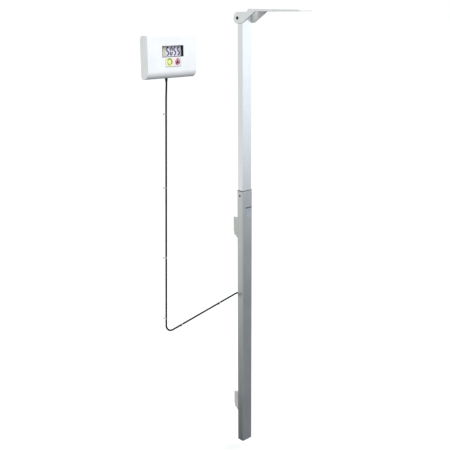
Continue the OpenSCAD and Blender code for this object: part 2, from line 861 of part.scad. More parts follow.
module power_button() {
    color([0.75, 0.85, 0.25]) push_button(button_spots[0]);
}

module hold_button() {
    color([0.75, 0.35, 0.48]) push_button(button_spots[1]);
}

// ---------------------------------------------------------------- batteries

cell_y = -disp_gap - door_t - cell_back_gap - cell_d / 2;
cell_low = cell_z - cell_len / 2;
cell_high = cell_z + cell_len / 2;

module battery_cells() {
    color([0.2, 0.3, 0.5])
    for (s = [-1, 1]) translate([cell_x + s * (cell_d + cell_gap) / 2, cell_y, 0]) {
        up = s > 0;
        body_low = cell_low + (up ? 0 : cell_nub);
        translate([0, 0, body_low]) cylinder(d = cell_d, h = cell_len - cell_nub);
        translate([0, 0, up ? cell_high - cell_nub : cell_low]) cylinder(d = cell_nub_d, h = cell_nub);
    }
}

module battery_contacts() {
    half = cell_d + cell_gap / 2;
    color([0.78, 0.75, 0.62])
    for (side = [-1, 1]) {
        inner = side > 0 ? cell_high : cell_low;
        outer = inner + side * contact_gap;
        block([cell_x - half, cell_y - cell_d / 2, min(outer, outer + side * contact_t)],
              [cell_x + half, cell_y + cell_d / 2, max(outer, outer + side * contact_t)]);
        for (s = [-1, 1]) translate([cell_x + s * (cell_d + cell_gap) / 2, cell_y, min(inner, outer)])
            cylinder(d = cell_nub_d, h = contact_gap);
    }
}

module battery_door() {
    face = -disp_gap;
    color([0.88, 0.89, 0.9])
    difference() {
        block([door_left, face - door_t, door_low], [door_right, face, door_high]);
        for (i = [0:rib_count - 1])
            block([cell_x - rib_size[0] / 2, face - rib_size[1], door_low + rib_start + 2 * i * rib_size[2]],
                  [cell_x + rib_size[0] / 2, face + over, door_low + rib_start + (2 * i + 1) * rib_size[2]]);
    }
}

// ---------------------------------------------------------------- inner tube, which slides

module inner_tube() {
    color([0.86, 0.88, 0.9])
    difference() {
        rod_bar(inner_w, inner_d, inner_r, inner_bottom, inner_len);
        rod_bar(cavity_w, cavity_d, cavity_r, inner_bottom - over, inner_len + 2 * over);
        block([-slot_w / 2, inner_back - inner_wall - over, inner_bottom - over],
              [slot_w / 2, inner_back + over, inner_top - slot_top_drop]);
        rod_x(-inner_w, inner_w, pivot_y, pivot_z, sleeve_d + 2 * fit);
    }
}

// The places of the two friction pads, wider by e on each side and standing further out by "more"
module pad_blocks(e, more) {
    outer = bore_d / 2 - slide_fit + pad_proud;
    translate([0, tube_y, inner_bottom - shoe_h / 2])
        for (flip = [0, 1]) mirror([0, flip, 0])
            block([-pad_w / 2 - e, outer - pad_t, -pad_h / 2 - e],
                  [pad_w / 2 + e, outer + more, pad_h / 2 + e]);
}

module slide_shoe() {
    color([0.9, 0.9, 0.88])
    difference() {
        union() {
            rod_bar(cavity_w - 2 * fit, cavity_d - 2 * fit, cavity_r, inner_bottom, shoe_plug_h);
            rod_bar(bore_w - 2 * slide_fit, bore_d - 2 * slide_fit, bore_r - slide_fit,
                    inner_bottom - shoe_h, shoe_h);
        }
        pad_blocks(fit, over);
    }
}

module friction_pads() {
    color([0.25, 0.25, 0.24]) pad_blocks(0, 0);
}

module measuring_strip() {
    face = inner_front + inner_wall;
    color([0.75, 0.6, 0.3])
    block([-strip_w / 2, face, inner_bottom + shoe_plug_h + strip_start],
          [strip_w / 2, face + strip_t, inner_top - slot_top_drop]);
}

module pivot_block() {
    color([0.12, 0.12, 0.13])
    difference() {
        union() {
            rod_bar(cavity_w - 2 * fit, cavity_d - 2 * fit, cavity_r, inner_top - block_h, block_h);
            rod_bar(inner_w, inner_d, inner_r, inner_top, block_cap_t);
        }
        rod_x(-inner_w, inner_w, pivot_y, pivot_z, sleeve_d + 2 * fit);
    }
}

module pivot_sleeve() {
    color([0.75, 0.7, 0.5])
    difference() {
        rod_x(-inner_w / 2, inner_w / 2, pivot_y, pivot_z, sleeve_d);
        rod_x(-inner_w, inner_w, pivot_y, pivot_z, pin_d + 2 * pin_fit);
    }
}

// ---------------------------------------------------------------- head piece, which folds down

// Turns reach forward of the pivot and height above it into (Y, Z)
function at_pivot(p) = [pivot_y - p[0], pivot_z + p[1]];

cheek_outline = [
    for (p = concat(
        arc([0, hub_lift], hub_r, 90, 290, steps = 20),
        [[hub_run, hub_sink], [cheek_reach, blade_rise + cheek_overlap], [cheek_reach, hub_lift + hub_r]]
    )) at_pivot(p)
];

blade_outline = [
    for (p = [
        [blade_seat, blade_rise], [blade_reach, blade_rise], [blade_reach, blade_rise + blade_tip],
        [blade_start, blade_rise + blade_root], [blade_seat, blade_rise + blade_heel],
    ]) at_pivot(p)
];

module headpiece() {
    color([0.88, 0.89, 0.9])
    difference() {
        union() {
            along_x(-cheek_out, -cheek_in) polygon(cheek_outline);
            along_x(cheek_in, cheek_out) polygon(cheek_outline);
            along_x(-cheek_out, cheek_out) polygon(blade_outline);
            block([-cheek_out + stop_inset, inner_back + stop_gap, pivot_z + stop_span[0]],
                  [cheek_out - stop_inset, inner_back + stop_gap + stop_t, pivot_z + stop_span[1]]);
        }
        rod_x(-2 * cheek_out, 2 * cheek_out, pivot_y, pivot_z, pin_d + 2 * fit);
    }
}

module pivot_pin() {
    end = cheek_out - pin_cap_stem;
    color([0.6, 0.61, 0.63]) rod_x(-end, end, pivot_y, pivot_z, pin_d);
}

module pin_caps() {
    color([0.05, 0.05, 0.06])
    for (flip = [0, 1]) mirror([flip, 0, 0]) {
        rod_x(cheek_out, cheek_out + pin_cap_t, pivot_y, pivot_z, pin_cap_d);
        rod_x(cheek_out - pin_cap_stem, cheek_out + pin_cap_t / 2, pivot_y, pivot_z, pin_d);
    }
}

module pivot_washers() {
    color([0.9, 0.9, 0.88])
    for (flip = [0, 1]) mirror([flip, 0, 0])
        difference() {
            rod_x(inner_w / 2 + washer_gap, cheek_in - washer_gap, pivot_y, pivot_z, washer_d);
            rod_x(0, 2 * cheek_in, pivot_y, pivot_z, pin_d + 2 * fit);
        }
}

// ---------------------------------------------------------------- what is drawn

outer_tube();
bottom_end_cap();
guide_collar();
collar_screws();
rod_label();
upper_wall_cleat();
lower_wall_cleat();
upper_hanger();
lower_hanger();
hanger_rivets();
reader_carrier();
reader_board();
reader_screws();
rod_grommet();
lead();
lead_clips();
clip_screws();
display_strain_relief();
display_front_shell();
display_back_shell();
shell_screws();
display_wall_plate();
lcd_bezel();
lcd_window();
lcd_panel();
keypad_label();
main_board();
battery_cells();
battery_contacts();
battery_door();
power_button();
hold_button();
inner_tube();
slide_shoe();
friction_pads();
measuring_strip();
pivot_block();
pivot_sleeve();
headpiece();
pivot_pin();
pin_caps();
pivot_washers();
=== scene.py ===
"""Looks of a wall-mounted digital height rod: two sliding tubes, a fold-down head piece and a wall display.

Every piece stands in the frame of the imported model, in metres: X to the right along the wall, Y into the
wall, Z up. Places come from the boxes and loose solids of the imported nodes; sizes that only the looks need
are fields of the class that uses them.
"""

from __future__ import annotations

import json
import logging
import math
from collections.abc import Callable, Mapping, Sequence
from dataclasses import dataclass
from enum import Enum

import bmesh
import bpy
from bpy.types import Material, NodeOutputs, NodeSocket, NodeTree, Object
from mathutils import Matrix, Vector

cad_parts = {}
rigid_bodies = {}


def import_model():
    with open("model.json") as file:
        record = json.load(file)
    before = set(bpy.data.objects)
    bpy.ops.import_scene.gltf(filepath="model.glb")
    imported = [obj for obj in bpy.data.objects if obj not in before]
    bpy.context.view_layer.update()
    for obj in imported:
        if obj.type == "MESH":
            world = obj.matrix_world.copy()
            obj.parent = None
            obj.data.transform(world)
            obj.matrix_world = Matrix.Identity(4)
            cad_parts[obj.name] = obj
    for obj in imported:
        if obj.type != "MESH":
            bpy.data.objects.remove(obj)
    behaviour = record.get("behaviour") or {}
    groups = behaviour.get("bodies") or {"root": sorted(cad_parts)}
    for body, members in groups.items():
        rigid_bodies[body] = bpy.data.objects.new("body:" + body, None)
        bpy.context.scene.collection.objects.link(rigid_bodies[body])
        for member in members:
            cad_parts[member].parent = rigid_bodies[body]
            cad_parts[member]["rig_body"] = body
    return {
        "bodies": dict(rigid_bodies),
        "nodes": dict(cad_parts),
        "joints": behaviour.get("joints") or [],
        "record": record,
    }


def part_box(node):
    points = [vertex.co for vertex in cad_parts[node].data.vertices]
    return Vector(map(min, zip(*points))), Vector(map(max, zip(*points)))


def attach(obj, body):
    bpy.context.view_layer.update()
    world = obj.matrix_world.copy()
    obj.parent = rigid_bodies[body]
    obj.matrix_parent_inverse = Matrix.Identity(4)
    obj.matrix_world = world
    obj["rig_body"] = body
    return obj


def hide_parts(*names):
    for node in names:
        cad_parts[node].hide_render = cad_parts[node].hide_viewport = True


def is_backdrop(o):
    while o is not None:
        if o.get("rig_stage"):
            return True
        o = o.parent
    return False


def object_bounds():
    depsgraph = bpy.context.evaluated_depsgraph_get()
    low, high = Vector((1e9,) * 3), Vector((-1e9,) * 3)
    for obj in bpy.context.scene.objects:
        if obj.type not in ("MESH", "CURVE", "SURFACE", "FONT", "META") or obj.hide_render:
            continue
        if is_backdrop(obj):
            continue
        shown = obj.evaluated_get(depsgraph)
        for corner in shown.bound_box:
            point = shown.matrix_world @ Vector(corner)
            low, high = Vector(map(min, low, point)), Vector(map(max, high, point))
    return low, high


LOG = logging.getLogger("height_rod")
MM = 0.001
MERGE = 1e-6
FLAT_ANGLE = 0.4
ROUNDED_ANGLE = 38.0
SMOOTH_ANGLE = 32.0
SMOOTH_NODE_ANGLE = 50.0
ROUNDED = "rounded_edge"
INTO_WALL = Vector((0, 1, 0))
OUT_OF_WALL = Vector((0, -1, 0))
SIDEWAYS = Vector((1, 0, 0))
UP = Vector((0, 0, 1))

Colour = tuple[float, float, float]
Point2 = tuple[float, float]
Spot = tuple[Vector, Vector]


def tone(code: int) -> Colour:
    """The linear colour of a display colour, given as 0xRRGGBB."""

    def linear(value: int) -> float:
        share = value / 255
        return share / 12.92 if share <= 0.04045 else ((share + 0.055) / 1.055) ** 2.4

    red, green, blue = code.to_bytes(3, "big")
    return linear(red), linear(green), linear(blue)


# ------------------------------------------------------------------------------------------ node wiring


class Wiring:
    """Adds nodes to one node tree and links them."""

    def __init__(self, tree: NodeTree) -> None:
        """Takes the tree that is built."""
        self.tree = tree

    def add(self, kind: str, inputs: Mapping[str | int, object] | None = None,
            **settings: object) -> bpy.types.Node:
        """Adds a node.

        Args:
            kind: The node's type.
            inputs: Values or output sockets for its inputs, by name or place.
            settings: Values for its properties.

        Returns:
            The new node.
        """
        node = self.tree.nodes.new(kind)
        for name, value in settings.items():
            setattr(node, name, value)
        for key, value in (inputs or {}).items():
            if isinstance(value, NodeSocket):
                self.tree.links.new(value, node.inputs[key])
            else:
                node.inputs[key].default_value = value
        return node

    def use(self, group: NodeTree, inputs: Mapping[str, object]) -> NodeOutputs:
        """The outputs of a shader group with these inputs."""
        return self.add("ShaderNodeGroup", inputs, node_tree=group).outputs

    def surface(self, inputs: Mapping[str, object]) -> None:
        """Puts out a Principled shader with these inputs as the material's surface."""
        shader = self.add("ShaderNodeBsdfPrincipled", inputs)
        self.add("ShaderNodeOutputMaterial", {"Surface": shader.outputs[0]})

    def close(self, results: Mapping[str, object]) -> NodeTree:
        """Ends a group with its results and gives back its tree."""
        self.add("NodeGroupOutput", results)
        return self.tree

    def math(self, operation: str, first: object, second: object = 0.0) -> NodeSocket:
        """The result of a Math node on two values or sockets."""
        return self.add("ShaderNodeMath", {0: first, 1: second}, operation=operation).outputs[0]

    def stretch(self, vector: object, factors: object) -> NodeSocket:
        """A vector multiplied by another, part by part."""
        return self.add("ShaderNodeVectorMath", {0: vector, 1: factors}, operation="MULTIPLY").outputs[0]

    def combine(self, x: object, y: object, z: object) -> NodeSocket:
        """A vector from three values or sockets."""
        return self.add("ShaderNodeCombineXYZ", {0: x, 1: y, 2: z}).outputs[0]

    def parts(self, vector: object) -> NodeOutputs:
        """The three parts of a vector."""
        return self.add("ShaderNodeSeparateXYZ", {0: vector}).outputs

    def ramp(self, value: object, low: float, high: float, to_low: float = 0.0,
             to_high: float = 1.0) -> NodeSocket:
        """A value carried from one range to another, held at the ends."""
        return self.add("ShaderNodeMapRange", {0: value, 1: low, 2: high, 3: to_low, 4: to_high}).outputs[0]

    def mix(self, share: object, first: object, second: object) -> NodeSocket:
        """A colour between two colours."""
        colours = [(*c, 1.0) if isinstance(c, tuple) and len(c) == 3 else c for c in (first, second)]
        inputs = {0: share, 6: colours[0], 7: colours[1]}
        return self.add("ShaderNodeMix", inputs, data_type="RGBA").outputs[2]

    def noise(self, vector: object, scale: object, detail: float = 3.0, rough: float = 0.55) -> NodeSocket:
        """The value of a Noise Texture."""
        inputs = {"Vector": vector, "Scale": scale, "Detail": detail, "Roughness": rough}
        return self.add("ShaderNodeTexNoise", inputs).outputs[0]


def open_group(kind: str, name: str, inputs: Mapping[str, tuple[str, object]],
               outputs: Mapping[str, str]) -> tuple[Wiring, NodeOutputs]:
    """Starts a node group with named sockets.

    Args:
        kind: The type of the tree.
        name: Its name.
        inputs: Kind and starting value (or None) of each input, by name.
        outputs: Kind of each output, by name.

    Returns:
        The group's wiring and what its inputs hand on.
    """
    tree = bpy.data.node_groups.new(name, kind)
    for label, (socket, start) in inputs.items():
        made = tree.interface.new_socket(name=label, in_out="INPUT", socket_type=f"NodeSocket{socket}")
        if start is not None:
            made.default_value = start
    for label, socket in outputs.items():
        tree.interface.new_socket(name=label, in_out="OUTPUT", socket_type=f"NodeSocket{socket}")
    w = Wiring(tree)
    return w, w.add("NodeGroupInput").outputs


# ------------------------------------------------------------------------------------------ shader groups

NOISE_SPAN = (0.3, 0.7)
SMUDGE_SPAN = (0.2, 0.8)


def open_effect(name: str, values: Mapping[str, float], results: Sequence[str]) -> tuple[Wiring, NodeOutputs]:
    """Starts a shader group that takes coordinates and plain values and puts out plain values."""
    inputs = {"Coordinates": ("Vector", None)} | {label: ("Float", start) for label, start in values.items()}
    return open_group("ShaderNodeTree", name, inputs, dict.fromkeys(results, "Float"))


class Effects:
    """Shader node groups that more than one finish uses, each built once."""

    def __init__(self) -> None:
        """Builds every group."""
        self.grain = self._grain()
        self.mould = self._mould()
        self.wear = self._wear()
        self.dust = self._dust()
        self.handling = self._handling()

    @staticmethod
    def _grain() -> NodeTree:
        """Fine lines along Z, as a drawn or extruded metal has them."""
        w, given = open_effect("drawn_grain", {"Across": 2600.0, "Along": 14.0}, ("Lines", "Streaks"))
        factors = w.combine(given["Across"], given["Across"], given["Along"])
        stretched = w.stretch(given["Coordinates"], factors)
        lines = w.noise(stretched, 1.0, detail=4.0, rough=0.7)
        streaks = w.noise(stretched, 0.045, detail=2.0)
        return w.close({"Lines": lines, "Streaks": w.ramp(streaks, *NOISE_SPAN)})

    @staticmethod
    def _mould() -> NodeTree:
        """The fine spark-eroded texture of a moulding, with a faint flow of tone."""
        w, given = open_effect("moulded_texture", {"Grain": 1500.0}, ("Height", "Flow"))
        place, grain = given["Coordinates"], given["Grain"]
        pits = {"Vector": place, "Scale": grain, "Randomness": 1.0}
        cells = w.add("ShaderNodeTexVoronoi", pits, feature="SMOOTH_F1").outputs["Distance"]
        height = w.math("ADD", cells, w.noise(place, grain, detail=2.0))
        flow = w.noise(place, 22.0, detail=2.0)
        return w.close({"Height": height, "Flow": w.ramp(flow, *NOISE_SPAN)})

    @staticmethod
    def _wear() -> NodeTree:
        """A broken mask on the rounded edges, where hands and cloths rub."""
        w, given = open_effect("edge_wear", {"Amount": 0.5}, ("Mask",))
        rounded = w.add("ShaderNodeAttribute", attribute_name=ROUNDED).outputs["Fac"]
        broken = w.ramp(w.noise(given["Coordinates"], 190.0, detail=5.0, rough=0.7), 0.42, 0.62)
        return w.close({"Mask": w.math("MULTIPLY", w.math("MULTIPLY", rounded, broken), given["Amount"])})

    @staticmethod
    def _dust() -> NodeTree:
        """A thin settled dust on faces that look up, thicker in patches."""
        w, given = open_effect("settled_dust", {"Amount": 0.3}, ("Mask",))
        normal = w.add("ShaderNodeNewGeometry").outputs["Normal"]
        level = w.ramp(w.parts(normal)[2], 0.55, 0.98)
        patches = w.ramp(w.noise(given["Coordinates"], 60.0, detail=6.0, rough=0.65), 0.35, 0.75)
        return w.close({"Mask": w.math("MULTIPLY", w.math("MULTIPLY", level, patches), given["Amount"])})

    @staticmethod
    def _handling() -> NodeTree:
        """Soft smudges that change the sheen a little, with a few finer wipe marks."""
        w, given = open_effect("handling_marks", {}, ("Smudge",))
        place = given["Coordinates"]
        broad = w.ramp(w.noise(place, 16.0), 0.35, 0.7)
        wipes = w.noise(w.stretch(place, (240.0, 90.0, 40.0)), 1.0, detail=2.0)
        smudge = w.math("ADD", w.math("MULTIPLY", broad, 0.7), w.math("MULTIPLY", wipes, 0.3))
        return w.close({"Smudge": smudge})


# --------------------------------------------------------------------------------------------- finishes


def start_material(name: str) -> tuple[Material, Wiring, NodeSocket]:
    """A new empty material, its wiring and the object's own coordinates in it."""
    made = bpy.data.materials.new(name)
    made.use_nodes = True
    made.node_tree.nodes.clear()
    w = Wiring(made.node_tree)
    return made, w, w.add("ShaderNodeTexCoord").outputs["Object"]


class Texture(Enum):
    """The patterns that a finish can carry."""

    DRAWN = "lines along the extrusion"
    MOULDED = "spark-eroded moulding"
    COATED = "powder coat with a slight orange peel"
    PLATED = "plated sheet with a soft mottle"
    FIBRE = "pressed fibres"
    TRACKS = "copper tracks under solder mask"
    BANDED = "rings along the length"


DUST = tone(0xCECAC2)


@dataclass(frozen=True)
class Finish:
    """One surface finish: two tones, a roughness range and a pattern."""

    base: Colour
    second: Colour
    roughness: Point2
    texture: Texture = Texture.MOULDED
    metallic: float = 0.0
    grain: float = 1500.0
    bump: float = 0.08
    depth: float = 0.05 * MM
    wear: float = 0.0
    worn: Colour = (0.8, 0.8, 0.8)
    dust: float = 0.12
    dust_roughness: float = 0.5
    coat: float = 0.0
    coat_roughness: float = 0.08
    specular: float = 0.5

    def material(self, name: str, effects: Effects) -> Material:
        """Builds the finish as a material.

        Args:
            name: The material's name.
            effects: The shared shader groups.

        Returns:
            The material.
        """
        made, w, place = start_material(name)
        share, height = self._pattern(w, place, effects)
        colour = w.mix(share, self.base, self.second)
        smudge = w.use(effects.handling, {"Coordinates": place})[0]
        rough = w.ramp(smudge, *SMUDGE_SPAN, *self.roughness)
        if self.wear:
            rubbed = w.use(effects.wear, {"Coordinates": place, "Amount": self.wear})[0]
            colour = w.mix(rubbed, colour, self.worn)
        if self.dust:
            settled = w.use(effects.dust, {"Coordinates": place, "Amount": self.dust})[0]
            colour = w.mix(settled, colour, DUST)
            rough = w.math("ADD", rough, w.math("MULTIPLY", settled, self.dust_roughness))
        relief = {"Height": height, "Strength": self.bump, "Distance": self.depth}
        w.surface({
            "Base Color": colour,
            "Roughness": rough,
            "Metallic": self.metallic,
            "Coat Weight": self.coat,
            "Coat Roughness": self.coat_roughness,
            "Specular IOR Level": self.specular,
            "Normal": w.add("ShaderNodeBump", relief).outputs[0],
        })
        made.diffuse_color = (*self.base, 1.0)
        return made

    def _pattern(self, w: Wiring, place: NodeSocket,
                 effects: Effects) -> tuple[NodeSocket, NodeSocket]:
        """The share of the second tone and the height, for this finish's pattern."""
        if self.texture is Texture.DRAWN:
            lines, streaks = w.use(effects.grain, {"Coordinates": place, "Across": self.grain})
            return w.math("MULTIPLY", w.math("ADD", lines, streaks), 0.5), lines
        if self.texture is Texture.COATED:
            return w.ramp(w.noise(place, 30.0), *NOISE_SPAN), w.noise(place, self.grain, detail=1.0)
        if self.texture is Texture.PLATED:
            cells = {"Vector": place, "Scale": self.grain / 4, "Randomness": 1.0}
            mottle = w.add("ShaderNodeTexVoronoi", cells).outputs["Color"]
            return w.add("ShaderNodeSeparateColor", {0: mottle}).outputs[0], w.noise(place, self.grain)
        if self.texture is Texture.FIBRE:
            hairs = w.noise(w.stretch(place, (1.0, 1.0, 3.0)), self.grain, detail=8.0, rough=0.8)
            return hairs, hairs
        if self.texture is Texture.TRACKS:
            x, _, z = w.parts(place)
            bricks = {"Vector": w.combine(x, z, 0.0), "Scale": self.grain, "Mortar Size": 0.06}
            tracks = w.add("ShaderNodeTexBrick", bricks).outputs["Fac"]
            return tracks, tracks
        if self.texture is Texture.BANDED:
            band = w.math("PINGPONG", w.math("MULTIPLY", w.parts(place)[2], self.grain), 1.0)
            return w.ramp(band, 0.46, 0.54), w.noise(place, 900.0, detail=2.0)
        skin = w.use(effects.mould, {"Coordinates": place, "Grain": self.grain})
        return skin["Flow"], skin["Height"]


FINISHES: dict[str, Finish] = {
    "anodised_aluminium": Finish(tone(0xCCD0D3), tone(0xC7CBCE), (0.28, 0.34), Texture.DRAWN, 1.0, 2600,
                                 0.03, wear=0.5, worn=tone(0xE8EAEC), dust=0.06),
    "polished_aluminium": Finish(tone(0xEDF0F3), tone(0xE8EBEE), (0.24, 0.3), Texture.DRAWN, 1.0, 3200,
                                 0.025, wear=0.35, worn=tone(0xF6F7F8), dust=0.05),
    "black_plastic": Finish(tone(0x141416), tone(0x1C1C1E), (0.42, 0.56), grain=2000, bump=0.12, wear=0.3,
                            worn=tone(0x5C5C5E), dust=0.04, specular=0.3),
    "dark_steel": Finish(tone(0x222225), tone(0x2E2E30), (0.3, 0.45), Texture.PLATED, 1.0, 900, 0.06,
                         wear=0.6, worn=tone(0x969698)),
    "foil_label": Finish(tone(0xC6CBD0), tone(0xBEC4C9), (0.3, 0.4), Texture.DRAWN, 0.85, 4200, 0.03,
                         dust=0.04),
    "zinc_steel": Finish(tone(0xC4C7CC), tone(0xACB0B8), (0.26, 0.4), Texture.PLATED, 1.0, 700, 0.05,
                         wear=0.4, worn=tone(0xDEDEDE)),
    "bracket_grey": Finish(tone(0xCED0CB), tone(0xC6C8C4), (0.42, 0.55), Texture.COATED, grain=1100,
                           bump=0.12, depth=0.06 * MM, wear=0.45, worn=tone(0xE4E4E2)),
    "rivet_aluminium": Finish(tone(0xD0D2D4), tone(0xBEC0C4), (0.3, 0.42), Texture.PLATED, 1.0, 1200, 0.06,
                              wear=0.4, worn=tone(0xE6E6E6)),
    "circuit_board": Finish(tone(0x185C34), tone(0x36804E), (0.25, 0.4), Texture.TRACKS, grain=260, bump=0.2,
                            coat=0.3, dust=0.05),
    "black_rubber": Finish(tone(0x121213), tone(0x1A1A1B), (0.6, 0.75), grain=1700, bump=0.15, dust=0.03,
                           specular=0.2),
    "lead_jacket": Finish(tone(0x09090A), tone(0x0E0E0F), (0.5, 0.62), grain=1300, dust=0.015, specular=0.12),
    "white_plastic": Finish(tone(0xF3F4F5), tone(0xECEEF0), (0.36, 0.48), wear=0.25, worn=tone(0xFAFAFA),
                            dust=0.1),
    "keypad_film": Finish(tone(0xF0ECD8), tone(0xECE8D2), (0.3, 0.4), grain=2400, bump=0.05, dust=0.05),
    "spring_steel": Finish(tone(0xCAC6B8), tone(0xBAB6A6), (0.22, 0.35), Texture.PLATED, 1.0, 800, 0.04),
    "battery_wrap": Finish(tone(0x223468), tone(0xC4A048), (0.22, 0.32), Texture.BANDED, grain=40, bump=0.02,
                           coat=0.4),
    "green_button": Finish(tone(0xCEDE4A), tone(0xD6E460), (0.45, 0.55), grain=1900, bump=0.1, wear=0.2,
                           worn=tone(0xE2E896)),
    "rose_button": Finish(tone(0xD68EA6), tone(0xD0849E), (0.45, 0.55), grain=1900, bump=0.1, wear=0.2,
                          worn=tone(0xE8C8D0)),
    "white_nylon": Finish(tone(0xE4E4DC), tone(0xDADAD2), (0.45, 0.6), grain=1400),
    "felt": Finish(tone(0x3E3E3C), tone(0x5C5B58), (0.85, 0.95), Texture.FIBRE, grain=1600, bump=0.5,
                   depth=0.2 * MM, specular=0.2),
    "brass_strip": Finish(tone(0xD6B068), tone(0xC49C54), (0.25, 0.35), Texture.DRAWN, 1.0, 2400, 0.04),
    "bronze": Finish(tone(0xC49668), tone(0xA87C54), (0.4, 0.55), Texture.PLATED, 1.0, 1600, 0.1),
    "headpiece_white": Finish(tone(0xF0F1F3), tone(0xEAECEE), (0.34, 0.46), grain=1600, wear=0.3,
                              worn=tone(0xF4F4F5), dust=0.1),
    "pin_steel": Finish(tone(0xBCBEC2), tone(0xAAACB2), (0.16, 0.26), Texture.PLATED, 1.0, 1000, 0.03),
    "lcd_ink": Finish(tone(0x1A0E3E), tone(0x22144A), (0.4, 0.5), grain=2600, bump=0.02, dust=0.0,
                      specular=0.1),
}
INKS: dict[str, tuple[Colour, Colour]] = {
    "printed_ink": (tone(0x34383E), tone(0x3E4248)),
    # grey ink: real print on the rod label and keypad outline, and also the painted shadow under the keys and
    # along the outline's foot
    "grey_ink": (tone(0x80868C), tone(0x8A9096)),
    "pale_ink": (tone(0xF6F9D6), tone(0xF8FADE)),
    "green_ink": (tone(0x424C0E), tone(0x4C5614)),
    "rose_ink": (tone(0x5C0C2E), tone(0x681236)),
    "lime_ink": (tone(0xEEF2B0), tone(0xF2F5BE)),
    "blush_ink": (tone(0xF8DEE6), tone(0xFAE4EB)),
}
FINISHES |= {
    name: Finish(*tones, (0.4, 0.5), grain=2600, bump=0.04, dust=0.0) for name, tones in INKS.items()
}


@dataclass(frozen=True)
class ClearFinish:
    """A clear plastic, nearly unseen but for faint wipe marks."""

    tint: Colour
    haze: Point2
    wiped: Colour = tone(0xE2E6E4)
    roughness: Point2 = (0.04, 0.12)

    def material(self, name: str, effects: Effects) -> Material:
        """Builds the finish as a material.

        Args:
            name: The material's name.
            effects: The shared shader groups.

        Returns:
            The material.
        """
        made, w, place = start_material(name)
        smudge = w.use(effects.handling, {"Coordinates": place})[0]
        w.surface({
            "Base Color": w.mix(smudge, self.tint, self.wiped),
            "Roughness": w.ramp(smudge, *SMUDGE_SPAN, *self.roughness),
            "Alpha": w.ramp(smudge, *SMUDGE_SPAN, *self.haze),
        })
        return made


@dataclass(frozen=True)
class ScreenFinish:
    """The reflective panel: a lilac field behind the digits and a blank strip at its left."""

    blank: Colour = tone(0xD8D6C0)
    field: Colour = tone(0xF0ECFA)
    cloud: Colour = tone(0xE8E2F4)
    strip: float = 19 * MM
    blend: float = 3 * MM
    roughness: Point2 = (0.3, 0.42)
    specular: float = 0.4

    def material(self, name: str, effects: Effects) -> Material:
        """Builds the finish as a material.

        Args:
            name: The material's name.
            effects: The shared shader groups, of which the panel needs none.

        Returns:
            The material.
        """
        made, w, place = start_material(name)
        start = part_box("lcd_bezel")[0].x + self.strip
        step = w.ramp(w.parts(place)[0], start, start + self.blend)
        cloud = w.noise(place, 45.0)
        w.surface({
            "Base Color": w.mix(step, self.blank, w.mix(cloud, self.field, self.cloud)),
            "Roughness": w.ramp(cloud, *NOISE_SPAN, *self.roughness),
            "Specular IOR Level": self.specular,
        })
        return made


SPECIAL: dict[str, ClearFinish | ScreenFinish] = {
    "clear_window": ClearFinish(tone(0xECF0EE), (0.015, 0.035)),
    "clear_plastic": ClearFinish(tone(0xE2E5E5), (0.16, 0.28)),
    "lcd_glass": ScreenFinish(),
}


class Wardrobe:
    """Makes each finish once and hands it out by its slot."""

    def __init__(self, frame: dict) -> None:
        """Builds the shared effects.
        """
        self.effects = Effects()
        self.nodes: dict[str, Object] = frame["nodes"]
        self.slots: dict[str, str] = {s["node"]: s["material_slot"] for s in frame["record"]["subparts"]}
        self.made: dict[str, Material] = {}

    def material(self, slot: str) -> Material:
        """The material of a slot or an ink, built when it is first asked for."""
        if slot not in self.made:
            finish = SPECIAL[slot] if slot in SPECIAL else FINISHES[slot]
            self.made[slot] = finish.material(slot, self.effects)
        return self.made[slot]

    def dress_nodes(self) -> None:
        """Gives every carried-over node the finish of its slot."""
        for name, node in self.nodes.items():
            node.data.materials.clear()
            node.data.materials.append(self.material(self.slots[name]))

    def dress(self, piece: Object, node: str, ink: str | None = None) -> None:
        """Finishes a piece and fixes it to its node's body.

        Args:
            piece: The object.
            node: The node that it stands for or, where an ink is given, that it is printed on.
            ink: The finish of a print. A print stands for no node.
        """
        body, slot = self.nodes[node]["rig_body"], self.slots[node]
        piece.data.materials.clear()
        piece.data.materials.append(self.material(ink or slot))
        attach(piece, body)
        if ink is None:
            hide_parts(node)
        LOG.info("%s on %s, %s, %d faces", piece.name, body, ink or slot, len(piece.data.polygons))


# ------------------------------------------------------------------------------------------ mesh making


def link(name: str, data: bpy.types.ID | None) -> Object:
    """A new object at the origin for a mesh, a curve, a light or a camera."""
    piece = bpy.data.objects.new(name, data)
    bpy.context.scene.collection.objects.link(piece)
    return piece


def bake(piece: Object) -> Object:
    """Turns a piece and its modifiers into a plain mesh."""
    graph = bpy.context.evaluated_depsgraph_get()
    evaluated = piece.evaluated_get(graph)
    mesh = bpy.data.meshes.new_from_object(evaluated, preserve_all_data_layers=True, depsgraph=graph)
    piece.modifiers.clear()
    if piece.type == "MESH":
        old, piece.data = piece.data, mesh
        mesh.name = piece.name
        bpy.data.meshes.remove(old)
        return piece
    name = piece.name
    bpy.data.objects.remove(piece)
    return link(name, mesh)


def welded(node: str) -> bmesh.types.BMesh:
    """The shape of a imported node, with the points that meet joined."""
    shape = bmesh.new()
    shape.from_mesh(bpy.data.objects[node].data)
    bmesh.ops.remove_doubles(shape, verts=shape.verts, dist=MERGE)
    return shape


def from_bmesh(name: str, shape: bmesh.types.BMesh, smooth: float = SMOOTH_ANGLE) -> Object:
    """An object from a bmesh, shaded smooth up to an angle in degrees."""
    mesh = bpy.data.meshes.new(name)
    shape.to_mesh(mesh)
    shape.free()
    mesh.shade_smooth()
    mesh.set_sharp_from_angle(angle=math.radians(smooth))
    return link(name, mesh)


def closed(name: str, shape: bmesh.types.BMesh) -> Object:
    """An object from a closed bmesh, its faces turned outwards."""
    bmesh.ops.recalc_face_normals(shape, faces=shape.faces)
    return from_bmesh(name, shape)


